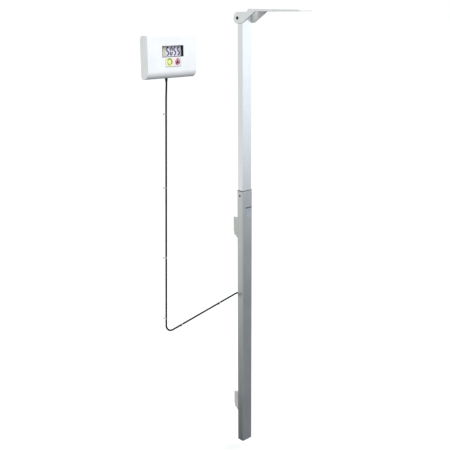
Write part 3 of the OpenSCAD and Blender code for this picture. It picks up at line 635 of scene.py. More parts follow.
def soften(piece: Object, width: float, segments: int = 2) -> Object:
    """Rounds a piece's sharp edges, settles its shading and marks the new faces as rounded.

    Args:
        piece: The object, a clean closed mesh.
        width: How far the rounding reaches from an edge.
        segments: Steps across the rounding.

    Returns:
        The same object, with its modifiers applied.
    """
    bevel = piece.modifiers.new("rounding", "BEVEL")
    bevel.width = width
    bevel.segments = segments
    bevel.limit_method = "ANGLE"
    bevel.angle_limit = math.radians(ROUNDED_ANGLE)
    bevel.use_clamp_overlap = False
    bevel.loop_slide = False
    bevel.face_strength_mode = "FSTR_ALL"
    bevel.material = 1
    normals = piece.modifiers.new("weights", "WEIGHTED_NORMAL")
    normals.keep_sharp = True
    normals.use_face_influence = True
    piece.data.materials.clear()
    for _ in range(2):
        piece.data.materials.append(None)
    piece = bake(piece)
    faces = piece.data.polygons
    marked = piece.data.attributes.new(ROUNDED, "FLOAT", "FACE")
    marked.data.foreach_set("value", [float(face.material_index) for face in faces])
    faces.foreach_set("material_index", [0] * len(faces))
    return piece


def softened_node(node: str, width: float, segments: int) -> Object:
    """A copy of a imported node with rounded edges.

    Args:
        node: The node's name.
        width: How far the rounding reaches from an edge.
        segments: Steps across the rounding.

    Returns:
        The new object.
    """
    shape = welded(node)
    limit = math.radians(FLAT_ANGLE)
    bmesh.ops.dissolve_limit(shape, angle_limit=limit, verts=shape.verts, edges=shape.edges)
    bmesh.ops.connect_verts_concave(shape, faces=[face for face in shape.faces if len(face.verts) > 4])
    return soften(from_bmesh(f"{node}_soft", shape, SMOOTH_NODE_ANGLE), width, segments)


def loose_boxes(node: str) -> list[tuple[Vector, Vector]]:
    """The lowest and highest corners of each solid of a node, from left to right and top to bottom."""
    shape = welded(node)
    waiting = set(shape.verts)
    boxes = []
    while waiting:
        edge = [waiting.pop()]
        points = []
        while edge:
            vertex = edge.pop()
            points.append(vertex.co.copy())
            near = {e.other_vert(vertex) for e in vertex.link_edges} & waiting
            waiting -= near
            edge.extend(near)
        boxes.append(tuple(Vector([pick(p[i] for p in points) for i in range(3)]) for pick in (min, max)))
    shape.free()
    return sorted(boxes, key=lambda b: (round(b[0].x, 4), -b[0].z))


def arc_points(centre: Point2, radius: float, start: float, stop: float, steps: int) -> list[Point2]:
    """Points on an arc, from one angle to another in degrees."""
    angles = [math.radians(start + (stop - start) * i / steps) for i in range(steps + 1)]
    return [(centre[0] + radius * math.cos(a), centre[1] + radius * math.sin(a)) for a in angles]


def circle_points(centre: Point2, radius: float, sides: int = 48) -> list[Point2]:
    """Points round a circle."""
    return arc_points(centre, radius, 0, 360 - 360 / sides, sides - 1)


def rounded_outline(low: Point2, high: Point2, radius: float, steps: int = 6) -> list[Point2]:
    """The outline of a rectangle with round corners."""
    corners = [
        ((high[0] - radius, high[1] - radius), 0),
        ((low[0] + radius, high[1] - radius), 90),
        ((low[0] + radius, low[1] + radius), 180),
        ((high[0] - radius, low[1] + radius), 270),
    ]
    return [p for centre, start in corners for p in arc_points(centre, radius, start, start + 90, steps)]


def bar_outline(centre: Point2, size: Point2) -> list[Point2]:
    """The outline of a printed bar with round ends."""
    x, z = centre
    half, rise = size[0] / 2, size[1] / 2
    return rounded_outline((x - half, z - rise), (x + half, z + rise), rise * 0.9, 3)


def around(points: Sequence) -> list[tuple]:
    """Each point of a loop with the next."""
    return list(zip(points, (*points[1:], points[0])))


def plate(name: str, outline: Sequence[Point2], front: float, back: float,
          holes: Sequence[Sequence[Point2]] = ()) -> Object:
    """A flat plate that stands in the X-Z plane.

    Args:
        name: The piece's name.
        outline: Its outer edge, as (X, Z) points.
        front: Y of its front face.
        back: Y of its back face.
        holes: The edges of its holes.

    Returns:
        The new object.
    """
    shape = bmesh.new()
    edges = []
    for loop in (outline, *holes):
        verts = [shape.verts.new((x, front, z)) for x, z in loop]
        edges += [shape.edges.new(pair) for pair in around(verts)]
    bmesh.ops.triangle_fill(shape, use_beauty=True, use_dissolve=False, edges=edges)
    pulled = bmesh.ops.extrude_face_region(shape, geom=list(shape.faces))
    moved = [g for g in pulled["geom"] if isinstance(g, bmesh.types.BMVert)]
    bmesh.ops.translate(shape, verts=moved, vec=(0, back - front, 0))
    return closed(name, shape)


def lathe(name: str, profile: Sequence[Point2], origin: Vector, axis: Vector, sides: int = 40) -> Object:
    """A turned piece.

    Args:
        name: The piece's name.
        profile: (radius, distance along the axis) from one end of the shape to the other.
        origin: Where the distances start.
        axis: The direction in which they grow.
        sides: Steps round the axis.

    Returns:
        The new object, closed at both ends or joined into a ring where its profile is closed.
    """
    shape = bmesh.new()
    place = Matrix.Translation(origin) @ axis.to_track_quat("Z", "Y").to_matrix().to_4x4()
    angles = [2 * math.pi * i / sides for i in range(sides)]
    ring = profile[0] == profile[-1]
    rows = []
    for radius, height in profile[:-1] if ring else profile:
        around = angles if radius >= MERGE else [0.0]
        spots = [Vector((radius * math.cos(a), radius * math.sin(a), height)) for a in around]
        rows.append([shape.verts.new(place @ spot) for spot in spots])
    pairs = list(zip(rows, rows[1:])) + ([(rows[-1], rows[0])] if ring else [])
    for low, high in pairs:
        for i in range(sides):
            j = (i + 1) % sides
            corners = [low[i % len(low)], low[j % len(low)], high[j % len(high)], high[i % len(high)]]
            unique = list(dict.fromkeys(corners))
            if len(unique) > 2:
                shape.faces.new(unique)
    return closed(name, shape)


def join(name: str, pieces: Sequence[Object]) -> Object:
    """Joins pieces into one mesh under a new name."""
    shape = bmesh.new()
    for piece in pieces:
        shape.from_mesh(piece.data)
        bpy.data.objects.remove(piece)
    return closed(name, shape)


def scaled(crown: Sequence[Point2], radius: float) -> list[Point2]:
    """A turned crown from shares of its radius and distances in millimetres."""
    return [(radius * share, distance * MM) for share, distance in crown]


# --------------------------------------------------------------------------------------- geometry nodes


class NodeTool:
    """A Geometry Nodes tree that makes one finished piece."""

    def __init__(self, name: str, inputs: Mapping[str, tuple[str, object]]) -> None:
        """Builds the tree once.

        Args:
            name: The tree's name.
            inputs: Kind and starting value of its own inputs, by name.
        """
        sockets = {"Geometry": ("Geometry", None), **inputs, "Finish": ("Material", None)}
        w, given = open_group("GeometryNodeTree", name, sockets, {"Geometry": "Geometry"})
        real = w.add("GeometryNodeRealizeInstances", {"Geometry": self._shape(w, given)})
        painted = w.add("GeometryNodeSetMaterial", {"Geometry": real.outputs[0], "Material": given["Finish"]})
        self.tree = w.close({"Geometry": painted.outputs[0]})

    def _shape(self, w: Wiring, given: NodeOutputs) -> NodeSocket:
        """Wires what the tree makes."""
        raise NotImplementedError

    def apply(self, piece: Object, values: Mapping[str, object]) -> Object:
        """Runs the tree on a piece.

        Args:
            piece: The object that carries the points or the curve.
            values: The tree's inputs, by name.

        Returns:
            One plain mesh object.
        """
        nodes = piece.modifiers.new(self.tree.name, "NODES")
        nodes.node_group = self.tree
        keys = {s.name: s.identifier for s in self.tree.interface.items_tree if s.in_out == "INPUT"}
        for name, value in values.items():
            nodes[keys[name]] = value
        bpy.context.view_layer.update()
        return bake(piece)


class RepeatTool(NodeTool):
    """Sets a part on every point of a mesh, turned to the point's facing."""

    def __init__(self) -> None:
        """Builds the tree."""
        own = {"Part": ("Object", None), "Turn": ("Float", 0.0), "Seed": ("Int", 0)}
        super().__init__("set_repeats", own)

    def _shape(self, w: Wiring, given: NodeOutputs) -> NodeSocket:
        """Wires the parts, each turned by its own share of Turn about its axis."""
        part = w.add("GeometryNodeObjectInfo", {"Object": given["Part"]}, transform_space="ORIGINAL")
        facing = w.add("GeometryNodeInputNamedAttribute", {"Name": "facing"}, data_type="FLOAT_VECTOR")
        aimed = w.add("FunctionNodeAlignRotationToVector", {"Vector": facing.outputs[0]}, axis="Z")
        limits = {2: w.math("MULTIPLY", given["Turn"], -1.0), 3: given["Turn"], "Seed": given["Seed"]}
        spin = w.add("FunctionNodeRandomValue", limits, data_type="FLOAT").outputs[1]
        turned = w.add("FunctionNodeAxisAngleToRotation", {"Axis": (0, 0, 1), "Angle": spin})
        turns = {"Rotation": aimed.outputs[0], "Rotate By": turned.outputs[0]}
        both = w.add("FunctionNodeRotateRotation", turns, rotation_space="LOCAL")
        placed = {
            "Points": given["Geometry"],
            "Instance": part.outputs["Geometry"],
            "Rotation": both.outputs[0],
        }
        return w.add("GeometryNodeInstanceOnPoints", placed).outputs[0]

    def run(self, name: str, part: Object, spots: Sequence[Spot], finish: Material,
            turn: float, seed: int) -> Object:
        """Sets the part on the spots.

        Args:
            name: The new piece's name.
            part: The part, which is used up.
            spots: Place and facing of each.
            finish: The material.
            turn: How far each may be turned about its own axis, in radians.
            seed: The seed of those turns.

        Returns:
            One plain mesh object.
        """
        mesh = bpy.data.meshes.new(name)
        mesh.from_pydata([tuple(place) for place, _ in spots], [], [])
        facing = mesh.attributes.new("facing", "FLOAT_VECTOR", "POINT")
        facing.data.foreach_set("vector", [value for _, way in spots for value in way])
        piece = self.apply(link(name, mesh), {"Part": part, "Turn": turn, "Seed": seed, "Finish": finish})
        bpy.data.objects.remove(part)
        return piece


class SweepTool(NodeTool):
    """Runs a round section along a curve."""

    def __init__(self) -> None:
        """Builds the tree."""
        super().__init__("round_sweep", {"Diameter": ("Float", 0.005), "Sides": ("Int", 24)})

    def _shape(self, w: Wiring, given: NodeOutputs) -> NodeSocket:
        """Wires the swept section, closed at both ends."""
        circle = {"Resolution": given["Sides"], "Radius": w.math("MULTIPLY", given["Diameter"], 0.5)}
        section = w.add("GeometryNodeCurvePrimitiveCircle", circle).outputs[0]
        path = {"Curve": given["Geometry"], "Profile Curve": section, "Fill Caps": True}
        swept = w.add("GeometryNodeCurveToMesh", path).outputs[0]
        return w.add("GeometryNodeSetShadeSmooth", {"Geometry": swept, "Shade Smooth": True}).outputs[0]

    def run(self, name: str, line: Sequence[Vector], diameter: float, sides: int,
            finish: Material) -> Object:
        """Sweeps the section along a line of points.

        Args:
            name: The new piece's name.
            line: The points of the centre line.
            diameter: The section's diameter.
            sides: Steps round it.
            finish: The material.

        Returns:
            One plain mesh object.
        """
        curve = bpy.data.curves.new(name, "CURVE")
        curve.dimensions = "3D"
        spline = curve.splines.new("POLY")
        spline.points.add(len(line) - 1)
        for point, place in zip(spline.points, line):
            point.co = (*place, 1.0)
        return self.apply(link(name, curve), {"Diameter": diameter, "Sides": sides, "Finish": finish})


class LadderTool(NodeTool):
    """Lays a ladder of flat marks up a line, every tenth one longer."""

    def __init__(self) -> None:
        """Builds the tree."""
        super().__init__("mark_ladder", {
            "Marks": ("Int", 10),
            "Start": ("Vector", (0.0, 0.0, 0.0)),
            "Pitch": ("Float", 0.002),
            "Mark Size": ("Vector", (0.006, 0.0001, 0.0008)),
            "Long Share": ("Float", 1.5),
        })

    def _shape(self, w: Wiring, given: NodeOutputs) -> NodeSocket:
        """Wires the marks."""
        step = w.combine(0.0, 0.0, given["Pitch"])
        points = {"Count": given["Marks"], "Start Location": given["Start"], "Offset": step}
        line = w.add("GeometryNodeMeshLine", points).outputs[0]
        mark = w.add("GeometryNodeMeshCube", {"Size": given["Mark Size"]}).outputs[0]
        index = w.add("GeometryNodeInputIndex").outputs[0]
        tenth = w.math("LESS_THAN", w.math("MODULO", index, 10.0), 0.5)
        growth = w.math("ADD", w.math("MULTIPLY", tenth, w.math("SUBTRACT", given["Long Share"], 1.0)), 1.0)
        placed = {"Points": line, "Instance": mark, "Scale": w.combine(growth, 1.0, 1.0)}
        return w.add("GeometryNodeInstanceOnPoints", placed).outputs[0]

    def run(self, name: str, values: Mapping[str, object]) -> Object:
        """Lays the marks.

        Args:
            name: The new piece's name.
            values: The tree's inputs, by name.

        Returns:
            One plain mesh object.
        """
        mesh = bpy.data.meshes.new(name)
        mesh.from_pydata([(0, 0, 0)], [], [])
        return self.apply(link(name, mesh), values)


# ----------------------------------------------------------------------------------------- sub-assemblies


@dataclass
class Fasteners:
    """Screws and rivets: turned heads on shanks, with a cross recess where they are driven."""

    wardrobe: Wardrobe
    sides: int = 24
    dome: float = 0.35
    rim: tuple[Point2, ...] = ((0.78, 0.0), (0.93, 0.4), (1.0, 1.0))
    arm: float = 0.62
    arm_half: float = 0.16
    taper: float = 0.6
    rivet_pit: tuple[Point2, ...] = ((0.0, -0.35), (0.22, -0.35), (0.26, -0.12))
    rivet_steps: tuple[int, ...] = (24, 42, 60, 76, 90)

    def screw(self, head: float, thick: float, shank: float, length: float) -> Object:
        """A pan-head screw whose head's top is at the origin and looks along Z.

        Args:
            head: The head's diameter.
            thick: Its thickness.
            shank: The shank's diameter.
            length: From the head's top to the tip.

        Returns:
            The part.
        """
        radius, drop = head / 2, thick * self.dome
        shape = bmesh.new()
        rings = [(radius * share, -drop * depth) for share, depth in self.rim]
        rings += [(radius, -thick), (shank / 2, -thick)]
        rings += [(shank / 2, -length + shank / 3), (shank / 4, -length)]
        angles = [2 * math.pi * i / self.sides for i in range(self.sides)]
        loops = [[shape.verts.new((size * math.cos(a), size * math.sin(a), height)) for a in angles]
                 for size, height in rings]
        self._skirt(shape, loops)
        shape.faces.new(loops[-1])
        reach, half = radius * self.arm, radius * self.arm_half
        quarter = [(reach, -half), (reach, half), (half, half)]
        cross = [(x * math.cos(t) - y * math.sin(t), x * math.sin(t) + y * math.cos(t))
                 for t in (0, math.pi / 2, math.pi, 3 * math.pi / 2) for x, y in quarter]
        top = [shape.verts.new((x, y, 0)) for x, y in cross]
        floor = [shape.verts.new((x * self.taper, y * self.taper, -thick * self.taper)) for x, y in cross]
        rim_edges = [shape.edges.get(pair) for pair in around(loops[0])]
        cross_edges = [shape.edges.new(pair) for pair in around(top)]
        bmesh.ops.triangle_fill(shape, use_beauty=True, use_dissolve=False, edges=rim_edges + cross_edges)
        self._skirt(shape, [top, floor])
        shape.faces.new(floor)
        return closed("screw_part", shape)

    @staticmethod
    def _skirt(shape: bmesh.types.BMesh, loops: Sequence[Sequence[bmesh.types.BMVert]]) -> None:
        """Closes the gaps between loops of the same number of points."""
        for upper, lower in zip(loops, loops[1:]):
            for (first, second), (third, fourth) in zip(around(upper), around(lower)):
                shape.faces.new((first, second, fourth, third))

    def rivet(self, head: float, thick: float, shank: float, length: float) -> Object:
        """A blind rivet with a domed head and a small pulled centre, its top at the origin."""
        radius = head / 2
        angles = [math.radians(step) for step in self.rivet_steps]
        dome = [(radius * math.sin(a), -thick + thick * math.cos(a)) for a in angles]
        stem = [(shank / 2, -thick), (shank / 2, -length), (0.0, -length)]
        return lathe("rivet_part", scaled(self.rivet_pit, shank) + dome + stem, Vector(), UP, self.sides)

    @staticmethod
    def spots(node: str, facing: Callable[[Vector], Vector]) -> list[Spot]:
        """The head centres of a node's solids.

        Args:
            node: The node.
            facing: Gives the direction that a head looks in, from its solid's centre.

        Returns:
            Place and facing of each.
        """
        found = []
        for low, high in loose_boxes(node):
            centre = (low + high) / 2
            way = facing(centre)
            ends = [high[i] if way[i] > 0.5 else low[i] if way[i] < -0.5 else centre[i] for i in range(3)]
            found.append((Vector(ends), way))
        return found

    def build(self) -> None:
        """Makes all the screws and rivets."""
        tool = RepeatTool()
        sets = [
            ("collar_screws", self.screw, (5.0, 1.4, 2.6, 3.2), lambda c: SIDEWAYS * math.copysign(1, c.x)),
            ("reader_screws", self.screw, (4.6, 1.5, 2.4, 10.5), lambda c: INTO_WALL),
            ("clip_screws", self.screw, (3.2, 0.8, 1.8, 0.8), lambda c: OUT_OF_WALL),
            ("shell_screws", self.screw, (5.6, 2.0, 3.0, 13.7), lambda c: INTO_WALL),
            ("hanger_rivets", self.rivet, (7.0, 1.5, 4.0, 5.1), lambda c: INTO_WALL),
        ]
        for seed, (node, maker, sizes, facing) in enumerate(sets):
            part = maker(*(size * MM for size in sizes))
            finish = self.wardrobe.material(self.wardrobe.slots[node])
            piece = tool.run(f"{node}_turned", part, self.spots(node, facing), finish, math.pi, seed)
            self.wardrobe.dress(piece, node)


@dataclass
class RoundedParts:
    """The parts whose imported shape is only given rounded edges."""

    wardrobe: Wardrobe

    def build(self) -> None:
        """Makes the parts, each with its rounding's reach in millimetres and steps."""
        for width, steps, nodes in (
            (0.35, 2, ("outer_tube", "inner_tube", "lead_clips")),
            (0.4, 2, ("guide_collar", "pivot_block", "upper_wall_cleat", "lower_wall_cleat")),
            (0.4, 2, ("display_wall_plate",)),
            (0.5, 2, ("bottom_end_cap", "battery_cells")),
            (0.3, 2, ("slide_shoe", "friction_pads", "reader_carrier", "pivot_pin")),
            (0.15, 2, ("reader_board", "pivot_sleeve", "battery_contacts")),
            (0.55, 2, ("upper_hanger", "lower_hanger")),
            (0.9, 3, ("headpiece",)),
            (0.7, 3, ("display_front_shell", "display_back_shell")),
            (0.25, 2, ("battery_door", "lcd_bezel")),
            (0.2, 2, ("pivot_washers", "main_board", "lcd_panel")),
        ):
            for node in nodes:
                self.wardrobe.dress(softened_node(node, width * MM, steps), node)


@dataclass
class RodFittings:
    """The grommet in the outer tube's back and the rungs of the measuring strip."""

    wardrobe: Wardrobe
    hole: float = 2.52 * MM
    neck: float = 3.8 * MM
    tube_wall: float = 1.2 * MM
    lip: float = 0.8 * MM
    end_gap: float = 2.0 * MM
    pitch: float = 2.0 * MM
    rung_lift: float = 0.025 * MM
    rung_thick: float = 0.08 * MM
    rung_width_share: float = 0.5
    rung_height_share: float = 0.45
    long_share: float = 1.6

    def build(self) -> None:
        """Makes the grommet and the rungs."""
        self._grommet()
        self._rungs()

    def _grommet(self) -> None:
        """The grommet in the tube's back, with a rounded lip."""
        low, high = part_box("rod_grommet")
        flange, top = (high.x - low.x) / 2, high.y - low.y
        outer = arc_points((flange - self.lip, top - self.lip), self.lip, 0, 90, 5)
        inner = arc_points((self.hole + self.lip, top - self.lip), self.lip, 90, 180, 5)
        foot = [(self.hole, 0.0), (self.neck, 0.0), (self.neck, self.tube_wall), (flange, self.tube_wall)]
        centre = Vector(((low.x + high.x) / 2, low.y, (low.z + high.z) / 2))
        piece = lathe("rod_grommet_moulded", [*foot, *outer, *inner, foot[0]], centre, INTO_WALL)
        self.wardrobe.dress(piece, "rod_grommet")

    def _rungs(self) -> None:
        """The etched rungs on the measuring strip."""
        low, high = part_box("measuring_strip")
        width = (high.x - low.x) * self.rung_width_share
        tool = LadderTool()
        piece = tool.run("measuring_strip_rungs", {
            "Marks": int((high.z - low.z - 2 * self.end_gap) / self.pitch),
            "Start": [(low.x + high.x) / 2, high.y + self.rung_lift, low.z + self.end_gap],
            "Pitch": self.pitch,
            "Mark Size": [width, self.rung_thick, self.pitch * self.rung_height_share],
            "Long Share": self.long_share,
            "Finish": self.wardrobe.material("printed_ink"),
        })
        self.wardrobe.dress(piece, "measuring_strip", "printed_ink")


@dataclass
class RodLabel:
    """The thin foil label with its generic print: a dark bar over a few fine lines."""

    wardrobe: Wardrobe
    corner: float = 1.5 * MM
    ink: float = 0.04 * MM
    margin: float = 2.0 * MM
    bar: Point2 = (26 * MM, 3.4 * MM)
    bar_drop: float = 3.0 * MM
    line_drop: float = 10.0 * MM
    line_pitch: float = 3.2 * MM
    line_height: float = 0.7 * MM
    line_shares: tuple[float, ...] = (0.82, 0.74, 0.86, 0.58)

    def build(self) -> None:
        """Makes the foil and the print on it."""
        low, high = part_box("rod_label")
        outline = rounded_outline((low.x, low.z), (high.x, high.z), self.corner)
        self.wardrobe.dress(plate("rod_label_foil", outline, low.y, high.y), "rod_label")
        face = low.y - self.ink, low.y
        spot = (low.x + high.x) / 2, high.z - self.bar_drop
        bar = plate("rod_label_bar", bar_outline(spot, self.bar), *face)
        self.wardrobe.dress(bar, "rod_label", "printed_ink")
        width = high.x - low.x - 2 * self.margin
        lines = []
        for i, share in enumerate(self.line_shares):
            size = (width * share, self.line_height)
            spot = low.x + self.margin + size[0] / 2, high.z - self.line_drop - i * self.line_pitch
            lines.append(plate(f"line_{i}", bar_outline(spot, size), *face))
        self.wardrobe.dress(join("rod_label_lines", lines), "rod_label", "grey_ink")


@dataclass
class PinCaps:
    """The two crowned caps on the pivot pin, each with a shallow ring near its rim."""

    wardrobe: Wardrobe
    proud: float = 1.2 * MM
    stem: float = 3.0 * MM
    crown: tuple[Point2, ...] = (
        (0.0, 0.0), (0.35, -0.02), (0.6, -0.08), (0.68, -0.24), (0.74, -0.24), (0.8, -0.12), (0.93, -0.25),
        (1.0, -0.5),
    )

    def build(self) -> None:
        """Makes the caps."""
        made = []
        for number, (low, high) in enumerate(loose_boxes("pin_caps")):
            way = 1 if low.x > 0 else -1
            radius, depth = (high.z - low.z) / 2, high.x - low.x
            origin = Vector((high.x if way > 0 else low.x, (low.y + high.y) / 2, (low.z + high.z) / 2))
            under = [(radius, -self.proud), (self.stem, -self.proud), (self.stem, -depth), (0.0, -depth)]
            made.append(lathe(f"cap_{number}", scaled(self.crown, radius) + under, origin, way * SIDEWAYS))
        self.wardrobe.dress(join("pin_caps_turned", made), "pin_caps")


@dataclass
class Screen:
    """The clear window and the digits on the panel behind it."""

    wardrobe: Wardrobe
    window_thick: float = 0.8 * MM
    window_corner: float = 0.3 * MM
    window_edge: float = 0.12 * MM
    ink: float = 0.05 * MM
    digits: str = "5055"
    size: Point2 = (9.8 * MM, 23.0 * MM)
    pitch: float = 11.9 * MM
    right_gap: float = 4.6 * MM
    lean: float = 0.06
    bar_width: float = 3.7 * MM
    bar_gap: float = 0.15 * MM

    def build(self) -> None:
        """Makes the window and the digits."""
        low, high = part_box("lcd_window")
        outline = rounded_outline((low.x, low.z), (high.x, high.z), self.window_corner, 2)
        pane = plate("lcd_window_pane", outline, low.y, low.y + self.window_thick)
        self.wardrobe.dress(soften(pane, self.window_edge), "lcd_window")
        last = high.x - self.right_gap - self.size[0] / 2
        bars = []
        for place, digit in enumerate(reversed(self.digits)):
            bars += self._digit(digit, last - place * self.pitch, (low.z + high.z) / 2)
        self.wardrobe.dress(join("lcd_digits", bars), "lcd_panel", "lcd_ink")

    def _digit(self, digit: str, x: float, z: float) -> list[Object]:
        """The lit bars of one seven-bar digit, centred on (x, z)."""
        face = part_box("lcd_panel")[0].y
        bar = self.bar_width / 2
        half, rise = self.size[0] / 2 - bar, self.size[1] / 2 - bar
        level = {"a": rise, "g": 0.0, "d": -rise}
        upright = {"f": (-half, rise / 2), "b": (half, rise / 2)}
        upright |= {"e": (-half, -rise / 2), "c": (half, -rise / 2)}
        made = []
        for key in {"0": "abcdef", "5": "acdfg"}[digit]:
            dx, dz = (0.0, level[key]) if key in level else upright[key]
            reach = (half if key in level else rise / 2) - self.bar_gap
            edge = [(-reach, 0), (bar - reach, bar), (reach - bar, bar), (reach, 0), (reach - bar, -bar),
                    (bar - reach, -bar)]
            turned = edge if key in level else [(b, a) for a, b in edge]
            outline = [(x + dx + a + self.lean * (dz + b), z + dz + b) for a, b in turned]
            made.append(plate(f"bar_{key}", outline, face - self.ink, face + self.ink / 2))
        return made


@dataclass
class Keypad:
    """The printed film and the two crowned keys that stand through it."""

    wardrobe: Wardrobe
    corner: float = 3.5 * MM
    edge: float = 0.1 * MM
    rim: float = 0.35 * MM
    side_line: float = 0.9 * MM
    # the outline's foot is wider than its head and sides: print plus painted shade along the film's lower
    # edge
    foot_line_and_shade: float = 1.35 * MM
    head_line: float = 0.36 * MM
    ground_gap: float = 0.5 * MM
    ground_corner: float = 1.5 * MM
    hole_gap: float = 0.5 * MM
    ring_gap: float = 0.15 * MM
    ink: float = 0.05 * MM
    ground_share: float = 0.6
    arc_share: float = 1.4
    shell_wall: float = 2.4 * MM
    flange: float = 2.0 * MM
    flange_thick: float = 1.2 * MM
    stem: float = 2.5 * MM
    sides: int = 56
    crown: tuple[Point2, ...] = (
        (0.0, 0.0), (0.3, 0.04), (0.6, 0.17), (0.82, 0.34), (0.93, 0.5), (0.985, 0.8), (1.0, 1.4),
    )
    mark_sink: float = 0.02 * MM
    spot_radius: float = 3.6 * MM
    spot_depth: float = 0.4 * MM
    bar: Point2 = (3.8 * MM, 1.4 * MM)
    bar_depth: float = 0.3 * MM
    triangle_radius: float = 6.5 * MM
    triangle_drop: float = 0.9 * MM
    triangle_depth: float = 0.55 * MM

    def build(self) -> None:
        """Makes the film, its print and the keys."""
        boxes = {node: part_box(node) for node in ("power_button", "hold_button")}
        centres = {node: tuple(((low + high) / 2).xz) for node, (low, high) in boxes.items()}
        low, high = boxes["power_button"]
        radius = (high.x - low.x) / 2 - self.flange
        self._film(centres, radius + self.hole_gap)
        self._arcs(centres, radius + self.hole_gap + self.ring_gap)
        for node in boxes:
            self._key(node, centres[node], radius)
        self._power_marks(centres["power_button"], low.y + self.mark_sink)
        self._hold_mark(centres["hold_button"], boxes["hold_button"][0].y + self.mark_sink)

    def _film(self, centres: Mapping[str, Point2], hole: float) -> None:
        """The film with its holes, its outline and the two coloured grounds. The outline is grey print, its
        foot drawn wider than its sides and head as painted shade along the film's lower edge.
        """
        low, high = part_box("keypad_label")
        holes = {node: circle_points(centre, hole) for node, centre in centres.items()}
        outer = rounded_outline((low.x, low.z), (high.x, high.z), self.corner)
        film = plate("keypad_film_sheet", outer, low.y, high.y, list(holes.values()))
        self.wardrobe.dress(soften(film, self.edge), "keypad_label")
        left, right = low.x + self.rim + self.side_line, high.x - self.rim - self.side_line
        foot, head = low.z + self.rim + self.foot_line_and_shade, high.z - self.rim - self.head_line
        inner = rounded_outline((left, foot), (right, head), self.corner - self.side_line)
        rim_low, rim_high = (low.x + self.rim, low.z + self.rim), (high.x - self.rim, high.z - self.rim)
        edge = rounded_outline(rim_low, rim_high, self.corner - self.rim)
        # grey outline: print, with painted shade in its wide foot band
        frame = plate("keypad_outline", edge, low.y - self.ink, low.y, [inner])
        self.wardrobe.dress(frame, "keypad_label", "grey_ink")
        middle = (low.x + high.x) / 2
        for name, start, stop, node, ink in (
            ("lime_ground", left, middle - self.ground_gap, "power_button", "lime_ink"),
            ("blush_ground", middle + self.ground_gap, right, "hold_button", "blush_ink"),
        ):
            corners = rounded_outline((start, foot), (stop, head), self.ground_corner)
            ground = plate(name, corners, low.y - self.ground_share * self.ink, low.y, [holes[node]])
            self.wardrobe.dress(ground, "keypad_label", ink)

    def _arcs(self, centres: Mapping[str, Point2], radius: float) -> None:
        """Printed arcs on the film, close round each key: where they start and stop, and their width. The two
        grey arcs under the keys are painted shadow, where each key's shadow falls on the film.
        """
        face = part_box("keypad_label")[0].y
        for name, node, start, stop, width, ink in (
            ("power_ring", "power_button", -40, 140, 2.3 * MM, "green_ink"),
            ("hold_ring", "hold_button", -50, 100, 1.8 * MM, "rose_ink"),
            # painted shadow: grey arcs under the foot of each key
            ("power_foot", "power_button", 215, 305, 1.2 * MM, "grey_ink"),
            ("hold_foot", "hold_button", 225, 305, 1.2 * MM, "grey_ink"),
        ):
            outer, inner = (arc_points(centres[node], r, start, stop, 24) for r in (radius + width, radius))
            arc = plate(name, outer + inner[::-1], face - self.arc_share * self.ink, face)
            self.wardrobe.dress(arc, "keypad_label", ink)

    def _key(self, node: str, centre: Point2, radius: float) -> None:
        """One crowned key with its flange behind the shell and its stem."""
        low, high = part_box(node)
        depth = high.y - low.y
        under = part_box("display_front_shell")[0].y - low.y + self.shell_wall
        wide, back = radius + self.flange, under + self.flange_thick
        hidden = [(radius, under), (wide, under), (wide, back)]
        hidden += [(self.stem, back), (self.stem, depth), (0.0, depth)]
        origin = Vector((centre[0], low.y, centre[1]))
        key = lathe(f"{node}_key", scaled(self.crown, radius) + hidden, origin, INTO_WALL, self.sides)
        self.wardrobe.dress(key, node)

    def _power_marks(self, centre: Point2, face: float) -> None:
        """A pale spot with a bar on it."""
        outline = circle_points(centre, self.spot_radius)
        spot = plate("power_button_spot", outline, face - self.ink, face + self.spot_depth)
        self.wardrobe.dress(spot, "power_button", "pale_ink")
        bar = bar_outline(centre, self.bar)
        mark = plate("power_button_mark", bar, face - 2 * self.ink, face + self.bar_depth)
        self.wardrobe.dress(mark, "power_button", "green_ink")

    def _hold_mark(self, centre: Point2, face: float) -> None:
        """A triangle that stands on its base."""
        middle = (centre[0], centre[1] - self.triangle_drop)
        corners = arc_points(middle, self.triangle_radius, 90, 330, 2)
        mark = plate("hold_button_mark", corners, face - self.ink, face + self.triangle_depth)
        self.wardrobe.dress(mark, "hold_button", "rose_ink")


